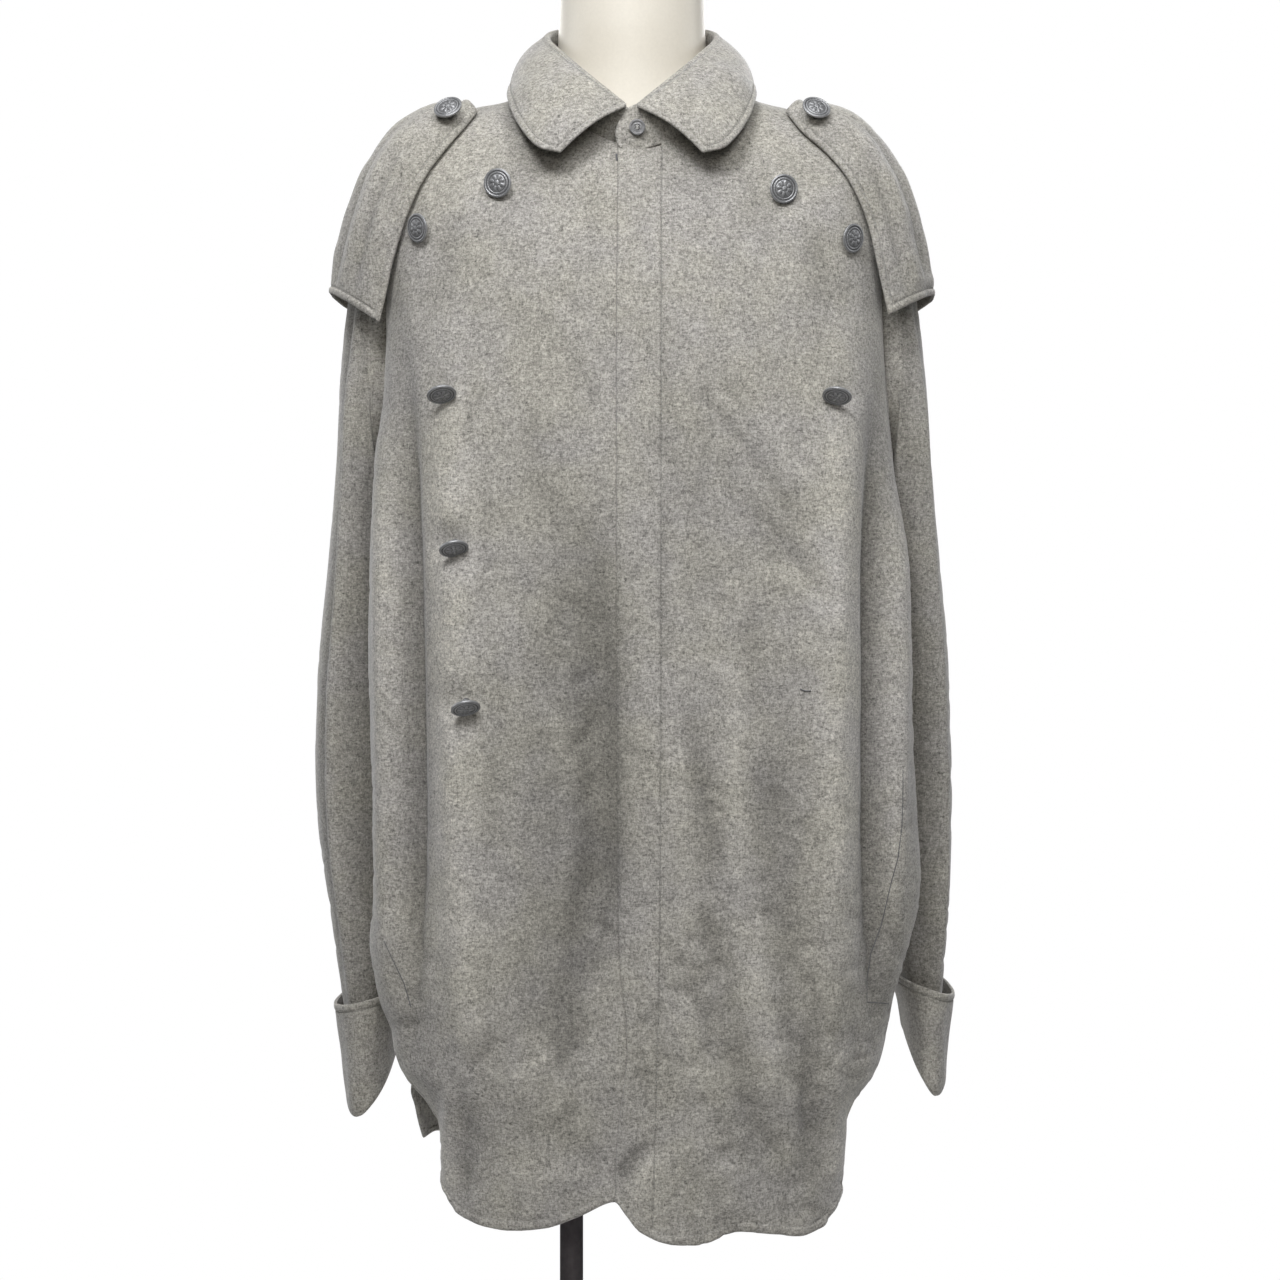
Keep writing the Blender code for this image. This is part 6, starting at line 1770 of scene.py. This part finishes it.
cape_r, kr_P, kr_N, kr_d, kr_a, kr_r = cape_piece(-1, "capelet_right_cloth", CAPE_R, "capelet_right")
cape_l, kl_P, kl_N, kl_d, kl_a, kl_r = cape_piece(1, "capelet_left_cloth", CAPE_L, "capelet_left")
leaf, leaf_P, leaf_N, leaf_d, leaf_k = collar_piece()
band, band_P, band_N, band_d, band_u = stand_piece()

# ----------------------------------------------------------------------------- stitching
grey_seams = new_store()


def stitch_level(store, P, N, D, level, wall, axis=0, sign=1.0, at_end=False, **kw):
    """Stitches along the line on which the distance D from an edge passes the level."""
    pts, nrm = [], []
    R, C = D.shape
    for i in range(C if axis == 0 else R):
        col = D[:, i] if axis == 0 else D[i]
        p, n = (P[:, i], N[:, i]) if axis == 0 else (P[i], N[i])
        k = len(col) - 1 if at_end else 0
        hit = None
        seq = range(len(col) - 1, 0, -1) if at_end else range(0, len(col) - 1)
        for j in seq:
            j2 = j - 1 if at_end else j + 1
            if (col[j] - level) * (col[j2] - level) <= 0 and col[j] != col[j2]:
                f = (level - col[j]) / (col[j2] - col[j])
                hit = (p[j] * (1 - f) + p[j2] * f, n[j] * (1 - f) + n[j2] * f)
                break
        if hit is not None:
            pts.append(hit[0] + unit(hit[1]) * (wall / 2 * sign))
            nrm.append(unit(hit[1]) * sign)
    if len(pts) < 4:
        return
    pts, nrm = np.array(pts), np.array(nrm)
    # a long step between two hits is no seam: the line is cut there
    cuts = [0] + [i + 1 for i in range(len(pts) - 1) if np.linalg.norm(pts[i + 1] - pts[i]) > 0.009] + [len(pts)]
    for a, b in zip(cuts[:-1], cuts[1:]):
        if b - a > 3:
            add_stitches(store, pts[a:b], nrm[a:b], **kw)


for P, N, D in ((left_P, left_N, left_d), (right_P, right_N, right_d), (back_P, back_N, back_d)):
    stitch_level(grey_seams, P, N, D, 0.0066, WALL, at_end=True, sink=0.0001)
stitch_level(grey_seams, strip_P, strip_N, strip_d, 0.0066, WALL_PLACKET, at_end=True, sink=0.0001)
stitch_level(grey_seams, strip_P, strip_N, strip_ds, 0.0020, WALL_PLACKET, axis=1, at_end=True, sink=0.0004)
for P, N, D in ((kr_P, kr_N, kr_d), (kl_P, kl_N, kl_d)):
    stitch_level(grey_seams, P, N, D, 0.0056, WALL_FLAP, at_end=True, sink=0.0006)
    stitch_level(grey_seams, P, N, D, 0.0056, WALL_FLAP, axis=1, sink=0.0006)
    stitch_level(grey_seams, P, N, D, 0.0056, WALL_FLAP, axis=1, at_end=True, sink=0.0006)
for P, N, D in ((cr_P, cr_N, cr_d), (cl_P, cl_N, cl_d)):
    stitch_level(grey_seams, P, N, D, 0.0058, WALL, at_end=True, sink=0.0005)
stitch_level(grey_seams, leaf_P, leaf_N, leaf_d, 0.0050, WALL_COLLAR, at_end=True, sink=0.0006)

trees = [tree_of(o) for o in (left, right, strip, back, sleeve_r, sleeve_l, cuff_r, cuff_l, cape_r, cape_l, leaf, band)]
seam_lines = (((384, 941), (392, 958), (404, 983), (411, 1007)), ((389, 1023), (415, 1021)),
             ((903, 770), (903, 792), (902, 826), (898, 858), (891, 884), (881, 926), (871, 953), (867, 979), (867, 1002)),
             ((867, 1002), (892, 1004)), ((512, 106), (478, 112)), ((749, 106), (783, 115)))
for k, line in enumerate(seam_lines):
    pts, nrm = seen_line(trees, line)
    step = np.linalg.norm(np.diff(pts, axis=0), axis=1) if len(pts) > 3 else np.ones(1)
    if step.max() < 0.010:
        add_stitches(grey_seams, pts, nrm, sink=0.0001)
        # a dark line along the seam, painted as the shadow in its groove
        tube("seam_painted_shadow_%d" % k, pts - nrm * 0.00008, 0.00046, DARK_THREAD_AND_PAINTED_SHADOW, 6)
    else:
        print("seam line left out", k, round(float(step.max()), 4))
# a dark tube painted as the shadow in the gap at the strip's top corner
pts, nrm = seen_line(trees, ((616.5, 154), (616.5, 157), (617.5, 161)), 1.5)
if len(pts) > 3:
    tube("strip_top_painted_shadow", pts - nrm * 0.0002, 0.00085, DARK_THREAD_AND_PAINTED_SHADOW, 8)
# the thread left where a button is missing on the wearer's left front
pts, nrm = seen_line(trees, ((800, 689), (805, 691), (811, 691)))
if len(pts) > 3:
    tube("thread_end", pts + nrm * 0.0004, 0.00055, DARK_THREAD_AND_PAINTED_SHADOW, 6)

stitch_object("seam_stitches", grey_seams, THREAD)

# ----------------------------------------------------------------------------- buttons
for k, (name, x, z, turn, tip, seat) in enumerate(BUTTONS):
    side = -1.0 if x < 0 else 1.0
    q, t = find_on_body(np.array(x), np.array(z), side * 0.6, 6.0)
    out = body_point(q, t, WALL / 2 + 0.0005)
    n = body_normal(q, t)
    yaw, pitch = math.radians(turn), math.radians(tip)
    axis = Vector((math.sin(yaw) * math.cos(pitch), -math.cos(yaw) * math.cos(pitch), -math.sin(pitch)))
    nv = Vector(n)
    ca = max(-1.0, min(1.0, axis.dot(nv)))
    sa = math.sqrt(1.0 - ca * ca)
    rise = max(SHANK_R * sa, BUTTON_R * sa - (SHANK_H + 0.0014) * ca)
    spot = Vector(out) + nv * rise
    metal_button(name, stand_on(spot, axis, 0.4 + 1.3 * k))
    shank_thread(name + "_thread", Vector(out) + nv * (rise * 0.35), nv * 0.6 + axis * 0.4, k * 0.9)

for name, side, table, a, r, axis in (
        ("button_right_shoulder", -1, CAPE_R, -0.76, 1.20, (-0.24, -0.74, 0.63)),
        ("button_left_shoulder", 1, CAPE_L, -0.74, 1.10, (0.22, -0.76, 0.61))):
    e = 0.02
    aa, rr = np.array(a), np.array(r)
    p = cape_point(side, table, aa, rr)
    du = cape_point(side, table, aa + e, rr) - cape_point(side, table, aa - e, rr)
    dv = cape_point(side, table, aa, rr + e) - cape_point(side, table, aa, rr - e)
    n = unit(np.cross(du, dv))
    n = n if n[2] > 0 else -n
    spot = Vector(p) + Vector(n) * (WALL_FLAP / 2 + 0.0022)
    metal_button(name, stand_on(spot, Vector(axis), 0.9 * side))
    shank_thread(name + "_thread", Vector(p) + Vector(n) * (WALL_FLAP / 2), Vector(n), 0.5)

collar_spot = stand_on((-0.0005, -0.0962, 1.4050), (0.0, -0.995, -0.10))
four_hole_button("button_collar", collar_spot)
for k, (x0, y0, x1, y1) in enumerate(((-1, -1, 1, 1), (1, -1, -1, 1), (-1, -1, 1, -1), (-1, 1, 1, 1))):
    h = 0.00125
    pts = []
    for i in range(13):
        s = i / 12.0
        lift = COLLAR_BUTTON_H - 0.0006 + 0.00055 * math.sin(math.pi * s) ** 0.5 + 0.00012 * k * math.sin(math.pi * s) - 0.0005 * (1 - math.sin(math.pi * s)) ** 3
        pts.append(collar_spot @ Vector((h * (x0 + (x1 - x0) * s), h * (y0 + (y1 - y0) * s), lift)))
    tube("button_collar_thread_%d" % k, pts, 0.00026, THREAD_PALE, 6)

# ----------------------------------------------------------------------------- form, pole and base
form_cover()
for name, mat, slot in (("form_flange", PLATE, "plate_steel"), ("form_base", PLATE, "plate_steel"),
                        ("form_pole", POLE, "pole_metal"), ("form_socket", POLE, "pole_metal")):
    obj = bpy.data.objects.get(name)
    if obj is not None:
        obj.data.materials.clear()
        obj.data.materials.append(mat)

# ----------------------------------------------------------------------------- camera, light, room
cam = bpy.data.cameras.new("camera")
cam.sensor_fit = "HORIZONTAL"
cam.sensor_width = 36.0
cam.lens = 18.0 / (0.5 * 1280 * VIEW_UNIT / 2.6)
cam_obj = bpy.data.objects.new("camera", cam)
bpy.context.scene.collection.objects.link(cam_obj)
cam_obj.location = (0.00164, EYE_Y, EYE_Z)
cam_obj.rotation_euler = (math.radians(90.0), 0.0, 0.0)
bpy.context.scene.camera = cam_obj

scene = bpy.context.scene
scene.view_settings.view_transform = "Standard"
scene.view_settings.look = "None"

world = bpy.data.worlds.new("studio")
scene.world = world
world.use_nodes = True
sky = world.node_tree
sky.nodes.clear()
sky_out = sky.nodes.new("ShaderNodeOutputWorld")
behind = sky.nodes.new("ShaderNodeBackground")
behind.inputs["Color"].default_value = (1.0, 1.0, 1.0, 1.0)
behind.inputs["Strength"].default_value = 1.0
around = sky.nodes.new("ShaderNodeBackground")
around.inputs["Color"].default_value = (0.96, 0.975, 1.0, 1.0)
around.inputs["Strength"].default_value = 0.05
path = sky.nodes.new("ShaderNodeLightPath")
pick = sky.nodes.new("ShaderNodeMixShader")
sky.links.new(path.outputs["Is Camera Ray"], pick.inputs[0])
sky.links.new(around.outputs[0], pick.inputs[1])
sky.links.new(behind.outputs[0], pick.inputs[2])
sky.links.new(pick.outputs[0], sky_out.inputs["Surface"])


def soft_light(name, place_at, aim, size, power, colour):
    data = bpy.data.lights.new(name, "AREA")
    data.shape = "RECTANGLE"
    data.size, data.size_y = size
    data.energy = power
    data.color = colour
    obj = bpy.data.objects.new(name, data)
    obj.location = place_at
    way = Vector(aim) - Vector(place_at)
    obj.rotation_euler = way.to_track_quat("-Z", "Y").to_euler()
    scene.collection.objects.link(obj)
    return obj


soft_light("key_left", (-0.46, -1.70, 2.62), (0.0, 0.0, 1.20), (0.7, 0.5), 32.0, (0.985, 0.99, 1.0))
soft_light("fill_right", (0.60, -1.70, 2.55), (0.0, 0.0, 1.15), (0.7, 0.6), 16.0, (0.985, 0.99, 1.0))
soft_light("front_warm", (0.0, -3.0, 1.6), (0.0, 0.0, 0.95), (0.9, 0.7), 15.0, (1.0, 0.965, 0.90))
soft_light("back_key", (0.75, 2.10, 2.35), (0.0, 0.0, 1.15), (1.0, 0.8), 36.0, (0.985, 0.99, 1.0))
soft_light("back_fill", (-0.95, 2.00, 2.00), (0.0, 0.0, 1.05), (1.0, 0.8), 20.0, (1.0, 0.99, 0.97))
soft_light("side_right", (-2.30, 0.75, 1.90), (0.0, 0.0, 1.10), (0.9, 0.9), 13.0, (0.985, 0.99, 1.0))
soft_light("side_left", (2.30, 0.75, 1.90), (0.0, 0.0, 1.10), (0.9, 0.9), 13.0, (0.985, 0.99, 1.0))
soft_light("top", (0.0, -0.5, 3.0), (0.0, 0.0, 1.3), (1.4, 1.0), 10.5, (0.99, 0.995, 1.0))

# a plain pale floor, small enough that the level camera looks over it
floor_verts = [(1.3 * math.cos(a), 1.3 * math.sin(a), -0.0005) for a in np.linspace(0, 2 * math.pi, 97)[:-1]]
floor = link("floor", floor_verts, [tuple(range(96))], smooth=False)
floor_mat = bpy.data.materials.new("floor_pale")
floor_tree, floor_shader = nodes_of(floor_mat)
floor_cloud = noise_node(floor_tree, place_vector(floor_tree), 1.5, 3.0, 0.5)
floor_tree.links.new(ramp(floor_tree, floor_cloud, ((0.3, grey(0.60)), (0.7, grey(0.63)))), floor_shader.inputs["Base Color"])
floor_shader.inputs["Roughness"].default_value = 0.85
floor.data.materials.append(floor_mat)
